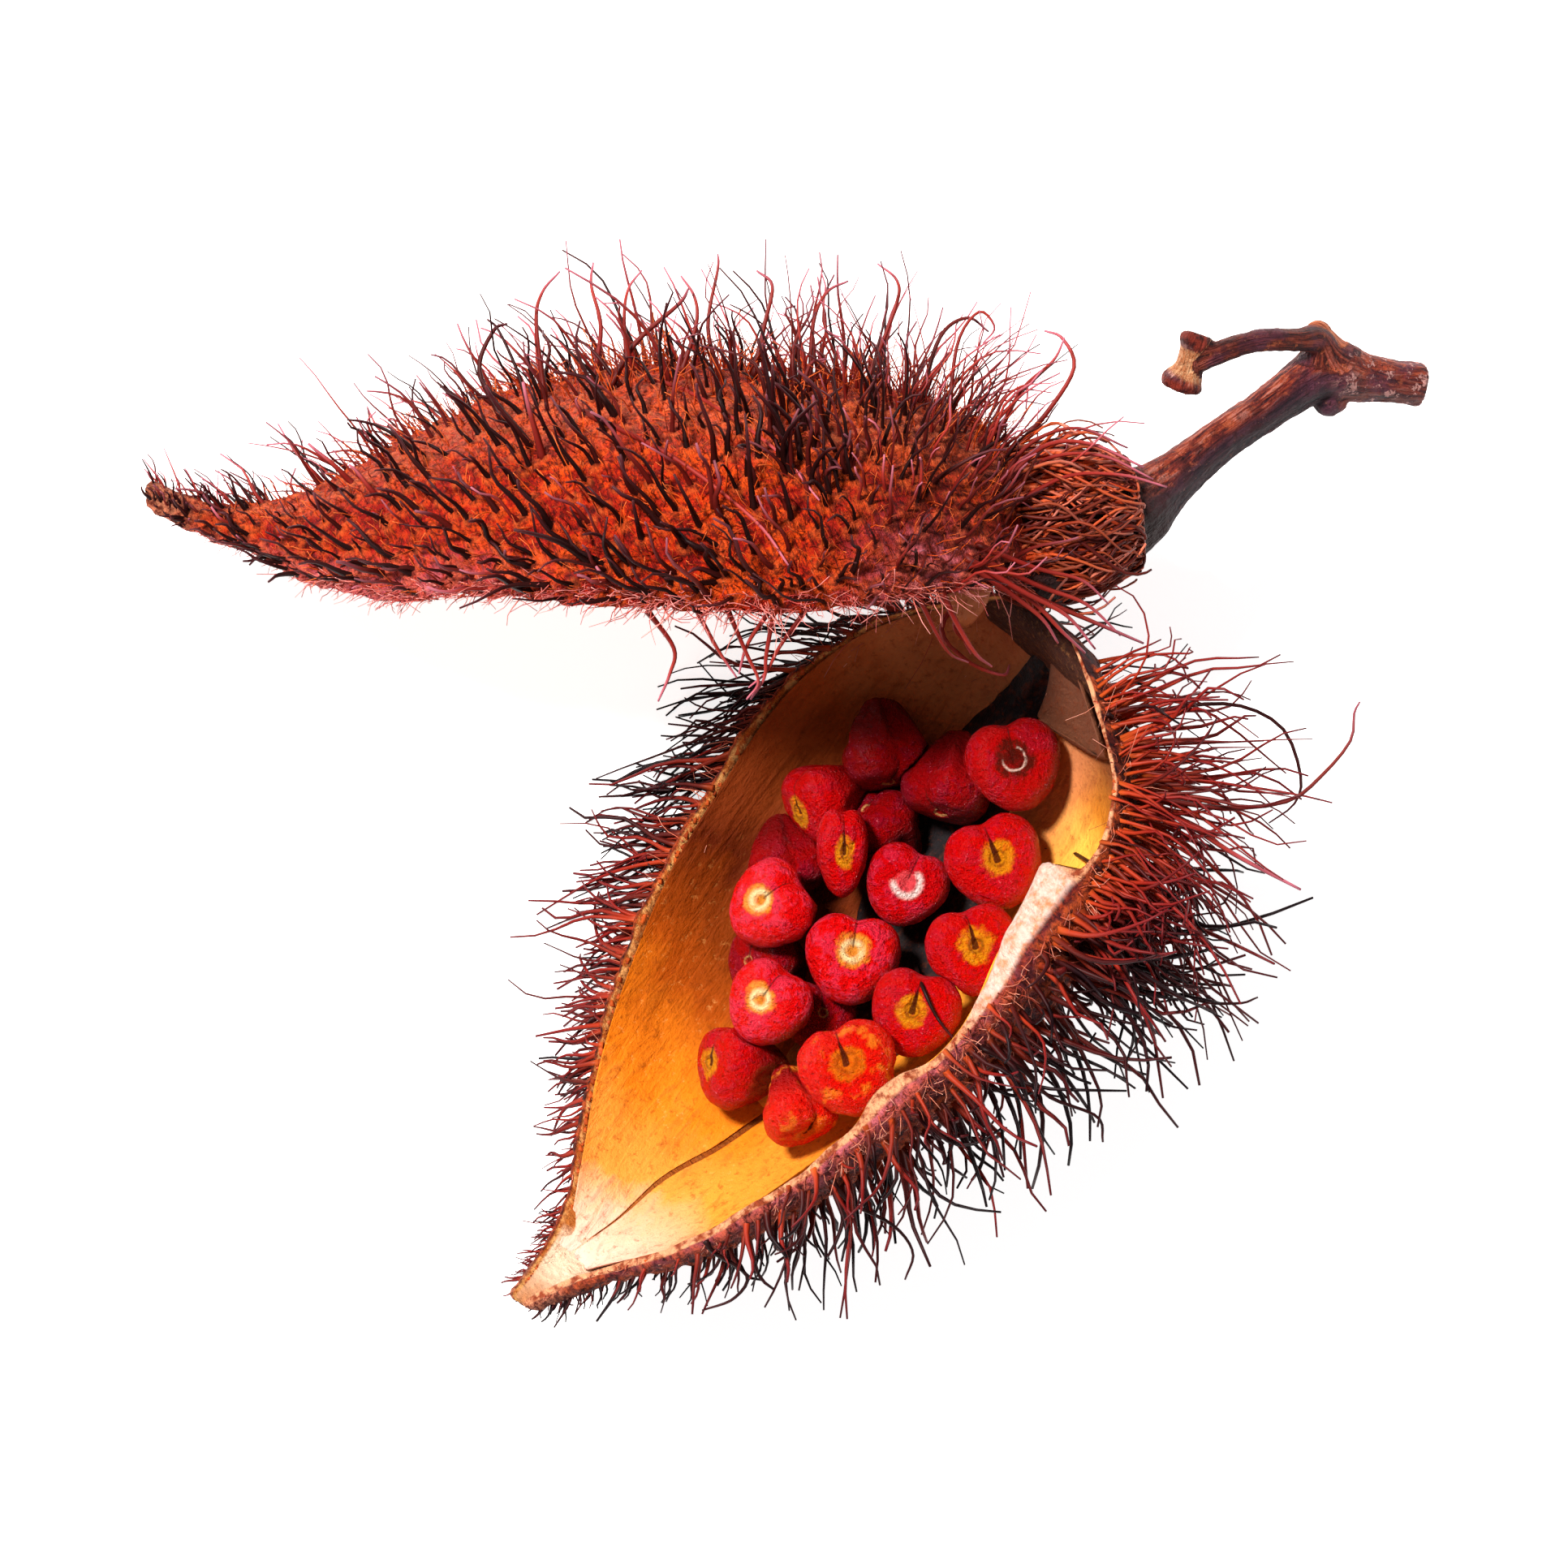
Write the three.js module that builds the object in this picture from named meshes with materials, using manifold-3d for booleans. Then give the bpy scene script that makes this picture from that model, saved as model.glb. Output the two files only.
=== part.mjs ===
// Annatto seed pod, dried and split open: two bristly valves on a forked stem, with the seeds
// heaped in the lower valve. Millimetres, +Z up, lying on the plane z = 0.
import * as THREE from 'three';
import { mergeVertices } from 'three/addons/utils/BufferGeometryUtils.js';
import Module from 'manifold-3d';

const wasm = await Module();
wasm.setup();

// ---- driving dimensions -------------------------------------------------------------------
const WALL = 1.1;               // thickness of a valve's woody wall along its back
const RIM_TAPER = 0.4;          // how much thinner the wall is at the edge of the mouth
const GAP = 0.3;                // air left between two pieces that sit together
const LINING = 0.35;            // thickness of the papery skin inside a valve
const PLACENTA = 0.7;           // thickness of the strip the seeds grew on
const BRISTLE_COUNT = 135;      // spikes grown on each valve
const BRISTLE_ROOT = 0.4;       // radius of a spike where it leaves the wall
const BRISTLE_TIP = 0.09;       // radius of a spike at its end
const BRISTLE_BEND = 0.35;      // how far a spike's end is carried sideways, times its length
const BRISTLE_SUNK = 0.5;       // how far a spike starts inside the wall
const BRISTLE_EDGE = 87;        // the last spikes stand this many degrees round from the back
const RINGS = 26;               // stations along a valve
const STEPS = 16;               // steps round a valve's half section
const SKIN_STEP = 18;           // degrees between the columns of a skin
const SEED_SIDES = 12;          // steps round a seed
const SLIVER = 0.01;            // edges shorter than this are closed up after the cuts

// A smooth curve through [position, value] pairs.
function profile(pairs) {
  const last = pairs.length - 1;
  const slope = (i) => {
    const before = pairs[Math.max(i - 1, 0)];
    const after = pairs[Math.min(i + 1, last)];
    return (after[1] - before[1]) / (after[0] - before[0]);
  };
  return (x) => {
    const at = Math.min(Math.max(x, pairs[0][0]), pairs[last][0]);
    let i = 0;
    while (i < last - 1 && at > pairs[i + 1][0]) i += 1;
    const span = pairs[i + 1][0] - pairs[i][0];
    const u = (at - pairs[i][0]) / span;
    const rise = pairs[i + 1][1] - pairs[i][1];
    const bend = u * (1 - u) * ((1 - u) * (slope(i) * span - rise) - u * (slope(i + 1) * span - rise));
    return pairs[i][1] + rise * u + bend;
  };
}

// The two valves. Each is half an ovoid round an axis from its base to its beak; `open` is the
// way its mouth faces. `left` and `right` are the half widths of the mouth, `depth` is how far
// the back stands off the mouth, `dip` bends the axis toward the mouth, `hair` is how long the
// bristles are.
const LOWER = {
  base: new THREE.Vector3(13.5, 8.6, 12.5),
  beak: new THREE.Vector3(-14.0, -26.4, 7.5),
  mouth: new THREE.Vector3(-0.58, 0.35, 0.74),
  left: profile([[0, 2.2], [0.04, 4.6], [0.12, 8.6], [0.2, 10.8], [0.3, 11.7], [0.43, 11.1],
    [0.53, 10.2], [0.65, 8.0], [0.75, 5.4], [0.83, 2.6], [0.9, 0.4], [1, 0.2]]),
  right: profile([[0, 2.8], [0.03, 6.0], [0.08, 10.2], [0.18, 12.9], [0.28, 13.3], [0.4, 13.2],
    [0.53, 12.3], [0.69, 10.2], [0.83, 7.2], [0.91, 3.9], [1, 1.2]]),
  depth: profile([[0, 2.6], [0.04, 5.0], [0.11, 8.4], [0.2, 10.2], [0.3, 10.9], [0.43, 10.6],
    [0.55, 9.5], [0.65, 7.9], [0.75, 5.9], [0.83, 4.0], [0.9, 2.3], [1, 0.8]]),
  dip: profile([[0, 0], [1, 0]]),
  hair: profile([[0, 8.0], [0.15, 7.6], [0.45, 6.2], [0.65, 4.9], [0.8, 2.6], [0.95, 1.2], [1, 0.9]]),
};
const UPPER = {
  base: new THREE.Vector3(13.0, 11.6, 13.0),
  beak: new THREE.Vector3(-32.7, 14.7, 8.4),
  mouth: new THREE.Vector3(-0.07, -0.931, -0.358),
  left: profile([[0, 2.6], [0.044, 5.4], [0.09, 7.6], [0.16, 9.6], [0.25, 11.0], [0.35, 11.6],
    [0.46, 11.5], [0.527, 10.9], [0.637, 9.2], [0.7, 7.7], [0.75, 6.3], [0.81, 4.4], [0.87, 2.4],
    [0.94, 1.1], [1, 0.8]]),
  right: profile([[0, 2.6], [0.044, 5.4], [0.09, 7.6], [0.16, 9.6], [0.25, 10.8], [0.35, 11.3],
    [0.46, 11.3], [0.527, 10.8], [0.637, 9.2], [0.7, 7.7], [0.75, 6.3], [0.81, 4.4], [0.87, 2.4],
    [0.94, 1.1], [1, 0.8]]),
  depth: profile([[0, 2.5], [0.044, 5.0], [0.09, 6.3], [0.16, 7.1], [0.33, 7.9], [0.43, 8.1],
    [0.527, 7.3], [0.637, 6.7], [0.7, 5.9], [0.75, 4.8], [0.81, 3.1], [0.87, 1.7], [0.94, 0.95],
    [1, 0.75]]),
  dip: profile([[0, 0], [0.16, -0.4], [0.3, 0], [0.5, 0], [0.6, 0.6], [0.7, 1.9], [0.8, 2.2],
    [0.87, 1.8], [0.94, 1.3], [1, 0]]),
  hair: profile([[0, 7.0], [0.15, 6.0], [0.5, 5.2], [0.63, 4.4], [0.75, 4.2], [0.85, 2.9],
    [0.95, 1.7], [1, 1.2]]),
};
for (const valve of [LOWER, UPPER]) {
  const axis = valve.beak.clone().sub(valve.base);
  valve.length = axis.length();
  valve.along = axis.normalize();
  valve.open = valve.mouth.clone().addScaledVector(valve.along, -valve.mouth.dot(valve.along)).normalize();
  valve.side = valve.open.clone().cross(valve.along);
}

// A point of a valve: `t` runs 0..1 from base to beak, `degrees` from -90 at the left edge of the
// mouth to 90 at the right one, `inset` into the wall, `lift` out of the mouth.
function pointOn(valve, t, degrees, inset = 0, lift = 0) {
  const angle = THREE.MathUtils.degToRad(degrees);
  const inward = inset - (inset > 0 ? RIM_TAPER * (1 - Math.cos(angle)) : 0);
  const middle = (valve.right(t) - valve.left(t)) / 2;
  const width = Math.max((valve.right(t) + valve.left(t)) / 2 - inward, 0.25);
  const depth = Math.max(valve.depth(t) - inward, 0.25);
  const point = valve.base.clone()
    .addScaledVector(valve.along, valve.length * t)
    .addScaledVector(valve.side, middle + width * Math.sin(angle))
    .addScaledVector(valve.open, lift + valve.dip(t) - depth * Math.cos(angle));
  point.z = Math.max(point.z, inset);
  return point;
}

// The way the wall faces at a point of a valve.
function facing(valve, t, degrees) {
  const step = 0.01;
  const lengthwise = pointOn(valve, Math.min(t + step, 1), degrees).sub(pointOn(valve, t - step, degrees));
  const crosswise = pointOn(valve, t, degrees + 1).sub(pointOn(valve, t, degrees - 1));
  return crosswise.cross(lengthwise).normalize();
}

// ---- building solids ----------------------------------------------------------------------
function solid(geometry) {
  geometry.deleteAttribute('normal');
  geometry.deleteAttribute('uv');
  const merged = mergeVertices(geometry, 1e-5);
  const mesh = () => new wasm.Mesh({
    numProp: 3,
    vertProperties: new Float32Array(merged.attributes.position.array),
    triVerts: new Uint32Array(merged.index.array),
  });
  const body = new wasm.Manifold(mesh());
  if (body.volume() > 0) return body;
  merged.index.array.reverse();
  return new wasm.Manifold(mesh());
}

// A closed skin over rings that all have the same number of points. Each end is closed by a zigzag
// between the ring's two halves, which suits a thin bent ring too.
function loft(rings) {
  const count = rings[0].length;
  const points = rings.flat();
  const index = [];
  const quad = (a, b, c, d) => index.push(a, b, c, a, c, d);
  for (let r = 0; r < rings.length - 1; r += 1) {
    for (let i = 0; i < count; i += 1) {
      const next = (i + 1) % count;
      quad(r * count + i, r * count + next, (r + 1) * count + next, (r + 1) * count + i);
    }
  }
  for (const [first, flip] of [[0, true], [(rings.length - 1) * count, false]]) {
    const face = (...corners) => index.push(...(flip ? corners.reverse() : corners).map((i) => first + i));
    let [low, high] = [0, count - 1];
    while (high - low > 1) {
      face(low, low + 1, high);
      low += 1;
      if (high - low > 1) face(low, high - 1, high);
      high -= 1;
    }
  }
  const geometry = new THREE.BufferGeometry().setFromPoints(points);
  geometry.setIndex(index);
  return solid(geometry);
}

// A round bar of changing radius along a smooth path; stops are [x, y, z, radius].
function bar(stops, stations, sides, groove = 0) {
  const curve = new THREE.CatmullRomCurve3(stops.map(([x, y, z]) => new THREE.Vector3(x, y, z)));
  const radius = profile(stops.map((stop, i) => [i / (stops.length - 1), stop[3]]));
  const frames = curve.computeFrenetFrames(stations, false);
  const rings = [];
  for (let i = 0; i <= stations; i += 1) {
    const centre = curve.getPoint(i / stations);
    const ring = [];
    for (let s = 0; s < sides; s += 1) {
      const angle = (s / sides) * 2 * Math.PI;
      const reach = radius(i / stations) * (1 + groove * Math.cos(5 * angle));
      ring.push(centre.clone()
        .addScaledVector(frames.normals[i], reach * Math.cos(angle))
        .addScaledVector(frames.binormals[i], reach * Math.sin(angle)));
    }
    rings.push(ring);
  }
  return loft(rings);
}

const range = (count, from, to) => Array.from(
  { length: count + 1 },
  (_, i) => from + ((to - from) * i) / count,
);
const unionOf = (bodies) => wasm.Manifold.union(bodies);
const largest = (body) => body.decompose().sort((a, b) => b.volume() - a.volume())[0].simplify(SLIVER);

// The filled shape of a valve: its outside, drawn in by `inset`, with the mouth raised by `lift`.
function filling(valve, inset, lift, from = 0, to = 1) {
  return loft(range(RINGS, from, to).map((t) => {
    const ring = range(STEPS, -90, 90).map((degrees) => pointOn(valve, t, degrees, inset));
    if (lift === 0) return ring;
    return [pointOn(valve, t, -90, inset, lift), ...ring, pointOn(valve, t, 90, inset, lift)];
  }));
}

// A thin skin against the inside of a valve, between two insets. `span(t)` gives its two edges in
// degrees, `lip(t, degrees)` how far it stands out of the mouth.
function skin(valve, rows, span, outer, thickness, lip = () => 0) {
  const [first, last] = span(rows.at(-1));
  const steps = Math.ceil((last - first) / SKIN_STEP) + 2;
  return loft(rows.map((t) => {
    const [start, end] = span(t);
    const layer = (inset) => range(steps, start, end)
      .map((degrees) => pointOn(valve, t, degrees, inset, lip(t, degrees)));
    return [...layer(outer), ...layer(outer + thickness).reverse()];
  }));
}

// ---- bristles -----------------------------------------------------------------------------
// Evenly scattered numbers 0..1, and the lean of the spikes: back near the base, on near the beak.
const spread = (i, step) => (0.5 + i * step) % 1;
const lean = (t) => THREE.MathUtils.clamp((t - 0.33) * 1.6, -0.7, 0.8);

// One spike: it starts inside the wall and curves toward `curl`, never going below the table.
function spike(root, way, curl, length, fat = 0) {
  const across = way.clone().cross(curl).normalize();
  const upright = across.clone().cross(way).normalize();
  return loft(range(3, 0, 1).map((s) => {
    const radius = THREE.MathUtils.lerp(BRISTLE_ROOT, BRISTLE_TIP, s) + fat;
    const centre = root.clone()
      .addScaledVector(way, length * s - BRISTLE_SUNK)
      .addScaledVector(curl, length * BRISTLE_BEND * s * s);
    centre.z = Math.max(centre.z, radius + 0.02);
    return [0, 120, 240].map((degrees) => {
      const angle = THREE.MathUtils.degToRad(degrees);
      return centre.clone()
        .addScaledVector(across, radius * Math.cos(angle))
        .addScaledVector(upright, radius * Math.sin(angle));
    });
  }));
}

function bristles(valve, count, shift, keepOut) {
  const kept = [];
  for (let i = 0; i < count; i += 1) {
    const t = 0.02 + 0.95 * spread(i + shift, 0.7549);
    const across = 2 * spread(i + shift, 0.5698) - 1;
    const degrees = BRISTLE_EDGE * Math.sign(across) * Math.abs(across) ** 0.75;
    const root = pointOn(valve, t, degrees);
    const way = facing(valve, t, degrees).addScaledVector(valve.along, Math.tan(lean(t))).normalize();
    const curl = valve.along.clone().multiplyScalar(Math.sign(lean(t)) * spread(i, 0.618))
      .addScaledVector(valve.side, spread(i, 0.381) - 0.5).normalize();
    const pressed = 1 - 0.3 * Math.max(way.z, 0);
    const length = valve.hair(t) * pressed * (0.75 + 0.5 * spread(i, 0.29));
    if (root.z < 0.6 || way.z < -0.93) continue;
    way.z = Math.max(way.z, -root.z / length);
    way.normalize();
    if (spike(root, way, curl, length, GAP).intersect(keepOut).volume() > 0) continue;
    kept.push(spike(root, way, curl, length));
  }
  return unionOf(kept);
}

// ---- stem: the swollen end that carries the valves, the stalk, its fork and the side twig --------
const stalk = bar([[12.4, 9.8, 12.6, 2.2], [13.6, 11.4, 12.8, 3.2], [15.2, 12.7, 12.7, 3.6],
  [17.0, 13.4, 12.5, 3.0], [18.3, 14.2, 12.3, 2.1], [19.8, 15.6, 11.8, 1.4], [22.3, 17.6, 11.0, 1.1],
  [24.8, 19.3, 10.2, 1.1], [26.8, 20.7, 9.6, 1.3], [28.2, 21.3, 9.1, 1.7], [29.8, 21.0, 8.5, 1.3],
  [31.4, 20.8, 8.0, 1.1], [33.0, 20.6, 7.5, 1.1]], 30, 14, 0.06);
const twig = bar([[28.2, 22.0, 9.4, 1.0], [27.4, 22.8, 10.4, 0.8], [26.4, 22.8, 11.3, 0.6],
  [24.6, 22.8, 11.8, 0.6], [23.0, 22.4, 11.7, 0.6], [21.3, 21.7, 11.2, 0.6]], 12, 9);
const stub = bar([[21.3, 23.1, 11.5, 0.7], [21.2, 22.8, 11.5, 0.85], [21.0, 22.2, 11.3, 0.7],
  [20.8, 21.4, 11.0, 0.75], [20.5, 20.7, 10.8, 1.1], [20.4, 20.4, 10.7, 1.05]], 10, 10);
const stubHollow = bar([[20.75, 21.3, 10.95, 0.4], [20.5, 20.8, 10.8, 0.7],
  [20.3, 20.1, 10.6, 0.9]], 4, 10);
const TUFT_COUNT = 16;
const tuft = unionOf(range(TUFT_COUNT - 1, 0, 2 * Math.PI).map((angle, i) => {
  const out = new THREE.Vector3(-0.5 * Math.cos(angle), 0.87 * Math.cos(angle), Math.sin(angle));
  const root = new THREE.Vector3(15.4, 12.7, 12.7).addScaledVector(out, 2.9);
  const way = new THREE.Vector3(0.87, 0.5, -0.05).addScaledVector(out, 0.85).normalize();
  return spike(root, way, new THREE.Vector3(0.87, 0.5, 0), 4.2 + 2 * spread(i, 0.618));
}));
const shell = (valve) => filling(valve, 0, 0).subtract(filling(valve, WALL, 2, 0.035, 0.92));
const room = (valve) => filling(valve, -GAP, 0);
const stem = largest(unionOf([stalk, tuft, twig, stub.subtract(stubHollow)])
  .subtract(room(UPPER))
  .subtract(room(LOWER))
  .subtract(filling(LOWER, WALL, 12, 0.02, 0.4)));

// ---- valves, their bristles and linings -----------------------------------------------------
const upperValve = largest(shell(UPPER).add(bristles(UPPER, BRISTLE_COUNT, 3, stem.add(room(LOWER)))));
const lowerValve = largest(shell(LOWER).add(bristles(LOWER, BRISTLE_COUNT, 7, stem.add(upperValve))));

// The line the seeds grew along, in degrees round the lower valve, and half the strip's width.
const keel = profile([[0, -34], [0.1, -33], [0.29, -24], [0.51, -5], [0.72, -12], [1, -12]]);
const strip = profile([[0.05, 8], [0.15, 10], [0.3, 20], [0.5, 20], [0.72, 4]]);
const SEAM = 1.5;               // half the gap between the two sides of the lining, in degrees
const onWall = WALL + GAP;
const onLining = onWall + LINING + GAP;
const halfLining = (span) => skin(LOWER, range(18, 0.05, 0.8), span, onWall, LINING);
const lowerLining = halfLining((t) => [-86, keel(t) - SEAM]);
const lowerLiningRight = halfLining((t) => [keel(t) + SEAM, 84]);
const liningFlap = skin(LOWER, range(5, 0.04, 0.105), (t) => [keel(t) + 10, 80], onLining, LINING);
const placenta = skin(LOWER, range(16, 0.05, 0.72), (t) => [keel(t) - strip(t), keel(t) + strip(t)],
  onLining, PLACENTA);
const corner = profile([[0.04, 0.4], [0.065, 2.1], [0.1, 0], [0.8, 0]]);
const upperLining = skin(UPPER, [0.04, 0.052, 0.065, 0.08, 0.1, ...range(12, 0.13, 0.78)], () => [-86, 86],
  onWall, LINING, (t, degrees) => (degrees < -80 ? corner(t) : 0));

// ---- seeds --------------------------------------------------------------------------------
// Outline of a seed from the pale disc at its broad end to its blunt point: [radius, height].
const SEED_OUTLINE = [[0.9, 1.95], [1.75, 1.75], [2.3, 1.0], [2.45, 0.2], [2.2, -0.9],
  [1.6, -1.9], [0.9, -2.6]];
const NOTCH_DEPTH = 0.22;       // how deep the notch is, times the radius there
const NOTCH_WIDTH = 0.42;       // half width of the notch, in radians

function seed(centre, size, faceX, faceY, turn, squash) {
  const upward = Math.sqrt(Math.max(1 - faceX * faceX - faceY * faceY, 0.05));
  const up = new THREE.Vector3(faceX, faceY, upward).normalize();
  const angle = THREE.MathUtils.degToRad(turn);
  const notch = new THREE.Vector3(-Math.sin(angle), Math.cos(angle), 0);
  notch.addScaledVector(up, -notch.dot(up)).normalize();
  const across = notch.clone().cross(up);
  const ring = (radius, height) => Array.from({ length: SEED_SIDES }, (_, i) => {
    const a = (i / SEED_SIDES) * 2 * Math.PI;
    const fade = height > -1 ? 1 : 0.4;
    const dent = NOTCH_DEPTH * fade * Math.exp(-(((a - Math.PI / 2) / NOTCH_WIDTH) ** 2));
    const reach = size * radius * (1 - dent + 0.05 * Math.cos(3 * (a + Math.PI / 2)));
    return centre.clone()
      .addScaledVector(across, squash * reach * Math.cos(a))
      .addScaledVector(notch, reach * Math.sin(a))
      .addScaledVector(up, size * height);
  });
  return loft(SEED_OUTLINE.map(([radius, height]) => ring(radius, height)));
}

// The heap, topmost seeds first: along the valve, toward its right edge, below its mouth, size,
// lean of the disc toward +X and +Y, turn of the notch, squash.
const HEAP = [
  ['seed_01', 7.4, -0.2, 5.2, 1.0, 0.0, 0.1, 12, 1],
  ['seed_02', 12.0, 1.8, 6.4, 1.02, 0.1, 0.05, 20, 1],
  ['seed_03', 15.9, -1.2, 5.6, 0.88, 0.0, 0.05, -25, 1],
  ['seed_04', 20.5, -0.1, 4.6, 1.0, 0.0, 0.2, -8, 1],
  ['seed_05', 16.5, -3.8, 2.8, 0.98, 0.1, -0.1, 0, 0.55],
  ['seed_06', 20.9, -4.0, 1.9, 0.95, -0.35, 0.1, -60, 1],
  ['seed_07', 24.7, -0.5, 2.4, 0.92, -0.4, 0.1, -35, 1],
  ['seed_08', 24.4, 6.0, 2.8, 1.03, -0.1, 0.15, 20, 1],
  ['seed_09', 20.2, 5.1, 5.2, 0.95, -0.15, 0.0, -15, 1],
  ['seed_10', 16.0, 4.9, 5.8, 0.98, 0.1, 0.1, 15, 1],
  ['seed_11', 28.2, 4.7, 3.3, 0.86, 0.75, 0.1, 0, 1],
  ['seed_12', 28.5, -0.8, 3.6, 0.92, -0.75, 0.2, 0, 1],
  ['seed_13', 15.3, -7.3, 3.3, 0.9, -0.6, 0.3, 0, 1],
  ['seed_14', 10.5, -3.0, 5.4, 0.95, -0.3, -0.85, 0, 1],
  ['seed_15', 11.4, -6.4, 3.7, 0.95, 0.4, -0.75, 0, 1],
  ['seed_16', 19.1, -6.9, 3.5, 0.85, 0.3, 0.6, 0, 1],
  ['seed_17', 14.6, -4.9, 5.6, 0.85, 0.5, 0.4, 0, 1],
  ['seed_18', 23.7, -4.2, 4.4, 0.85, -0.7, 0.1, 0, 1],
  ['seed_19', 24.1, -0.5, 5.7, 0.8, 0.2, 0.1, 0, 1],
];

// Seeds low in the heap are dented where the ones above press on them, and by the lining.
const EXTRA = 3;                // room left beside the strip, in degrees
const besideStrip = (t) => [keel(t) - strip(t) - EXTRA, keel(t) + strip(t) + EXTRA];
const hollow = filling(LOWER, onLining, 14, 0.03, 0.92)
  .subtract(skin(LOWER, range(16, 0.04, 0.73), besideStrip, onLining - GAP, PLACENTA + 2 * GAP))
  .subtract(skin(LOWER, range(5, 0.03, 0.115), (t) => [keel(t) + 6, 86], onLining - GAP, LINING + 2 * GAP));
const seeds = [];
for (const [name, along, toRight, below, size, ...shape] of HEAP) {
  const centre = LOWER.base.clone()
    .addScaledVector(LOWER.along, along)
    .addScaledVector(LOWER.side, toRight)
    .addScaledVector(LOWER.open, -below);
  let body = seed(centre, size, ...shape).intersect(hollow);
  for (const above of seeds) body = body.subtract(above.room);
  seeds.push({ name, body: largest(body), room: seed(centre, size + 0.1, ...shape) });
}

// ---- the finished part ----------------------------------------------------------------------
function geometryOf(body) {
  const mesh = body.getMesh();
  const geometry = new THREE.BufferGeometry();
  geometry.setAttribute('position', new THREE.BufferAttribute(mesh.vertProperties, 3));
  geometry.setIndex(new THREE.BufferAttribute(mesh.triVerts, 1));
  return geometry;
}

const pod = new THREE.Group();
function add(name, body, color, roughness) {
  const material = new THREE.MeshStandardMaterial({ color, roughness, metalness: 0 });
  const mesh = new THREE.Mesh(geometryOf(body), material);
  mesh.name = name;
  pod.add(mesh);
}
add('lower_valve', lowerValve, 0x8a2a1c, 0.8);
add('upper_valve', upperValve, 0xa8341c, 0.8);
add('lower_lining', lowerLining, 0xc8862e, 0.6);
add('lower_lining_right', lowerLiningRight, 0xd08a2c, 0.6);
add('lining_flap', liningFlap, 0x4a2614, 0.75);
add('upper_lining', upperLining, 0xb88458, 0.7);
add('placenta', placenta, 0x2a1a1c, 0.8);
add('stem', stem, 0x5e2218, 0.8);
for (const { name, body } of seeds) add(name, body, 0xc81420, 0.45);

export default pod;
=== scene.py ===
# %% [markdown]
# # An annatto seed pod, dried and split open
# Two bristly half shells, called valves, grow on a forked stem. The upper one lies face down beside
# the stem, the lower one lies open with its seeds heaped in it. This lesson dresses the packed
# solids: every piece is modelled again, finer, in the same place, and the solids are then hidden.
# Lengths in this file are millimetres, and are turned into metres only as a mesh is filled.

import math

import bpy
import numpy as np
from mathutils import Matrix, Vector
from mathutils.bvhtree import BVHTree
from mathutils.kdtree import KDTree


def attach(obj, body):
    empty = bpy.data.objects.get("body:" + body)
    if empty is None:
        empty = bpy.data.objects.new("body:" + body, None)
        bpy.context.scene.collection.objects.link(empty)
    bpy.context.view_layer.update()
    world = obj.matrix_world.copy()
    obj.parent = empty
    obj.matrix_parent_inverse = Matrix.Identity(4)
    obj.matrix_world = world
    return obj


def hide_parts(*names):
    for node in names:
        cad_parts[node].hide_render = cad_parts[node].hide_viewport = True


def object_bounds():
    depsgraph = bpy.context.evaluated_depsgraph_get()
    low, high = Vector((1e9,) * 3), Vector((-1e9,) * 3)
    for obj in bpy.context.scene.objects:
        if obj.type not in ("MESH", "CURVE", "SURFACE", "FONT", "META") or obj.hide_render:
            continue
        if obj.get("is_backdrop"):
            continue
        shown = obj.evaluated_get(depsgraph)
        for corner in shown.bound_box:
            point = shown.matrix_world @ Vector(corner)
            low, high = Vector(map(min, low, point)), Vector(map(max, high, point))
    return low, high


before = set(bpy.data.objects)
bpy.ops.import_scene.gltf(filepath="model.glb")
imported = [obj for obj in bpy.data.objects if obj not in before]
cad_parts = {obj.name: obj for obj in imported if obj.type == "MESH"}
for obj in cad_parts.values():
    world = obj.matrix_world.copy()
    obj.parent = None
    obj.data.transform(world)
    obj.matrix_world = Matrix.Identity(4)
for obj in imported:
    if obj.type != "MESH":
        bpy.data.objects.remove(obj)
cad_low, cad_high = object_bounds()
bpy.ops.object.select_all(action="DESELECT")
MM = 0.001
chance = np.random.default_rng(7)
print("frame: ", len(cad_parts), "solids, box", [round(v / MM, 1) for v in cad_high - cad_low])

# %% [markdown]
# ## The view
# The pod is seen from straight above, through a long lens from far away, so that nothing high looks
# larger than what lies on the table. The lens is aimed at the middle of the frame, and its distance
# is worked out from the width that it has to take in at the height of the seeds.

# %% Camera
VIEW_WIDTH = 80.5          # what the picture takes in from side to side
FOCUS_HEIGHT = 12.0        # the height at which that width is measured
LENS = 400.0
SENSOR = 36.0
bpy.ops.object.camera_add(location=(0, 0, (FOCUS_HEIGHT + VIEW_WIDTH * LENS / SENSOR) * MM))
camera = bpy.context.object
camera.data.lens = LENS
camera.data.sensor_width = SENSOR
camera.data.clip_end = 10
bpy.context.scene.camera = camera
print("camera height:", round(camera.location.z, 3), "m")

# %% [markdown]
# ## Smooth curves through a few points
# A grown shape has no straight lines, but a dozen widths along its length describe it well. A profile
# joins such points by a smooth curve, and it works on whole arrays of positions at once.

# %% Profiles
def profile(pairs):
    """A smooth curve through (position, value) pairs, as a function of position."""
    x, y = np.array(pairs, float).T
    inner = (y[2:] - y[:-2]) / (x[2:] - x[:-2])
    slope = np.concatenate([[(y[1] - y[0]) / (x[1] - x[0])], inner, [(y[-1] - y[-2]) / (x[-1] - x[-2])]])

    def at(position):
        held = np.clip(position, x[0], x[-1])
        i = np.clip(np.searchsorted(x, held) - 1, 0, len(x) - 2)
        span = x[i + 1] - x[i]
        u = (held - x[i]) / span
        rise = y[i + 1] - y[i]
        bend = (1 - u) * (slope[i] * span - rise) - u * (slope[i + 1] * span - rise)
        return y[i] + rise * u + u * (1 - u) * bend

    return at


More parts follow.
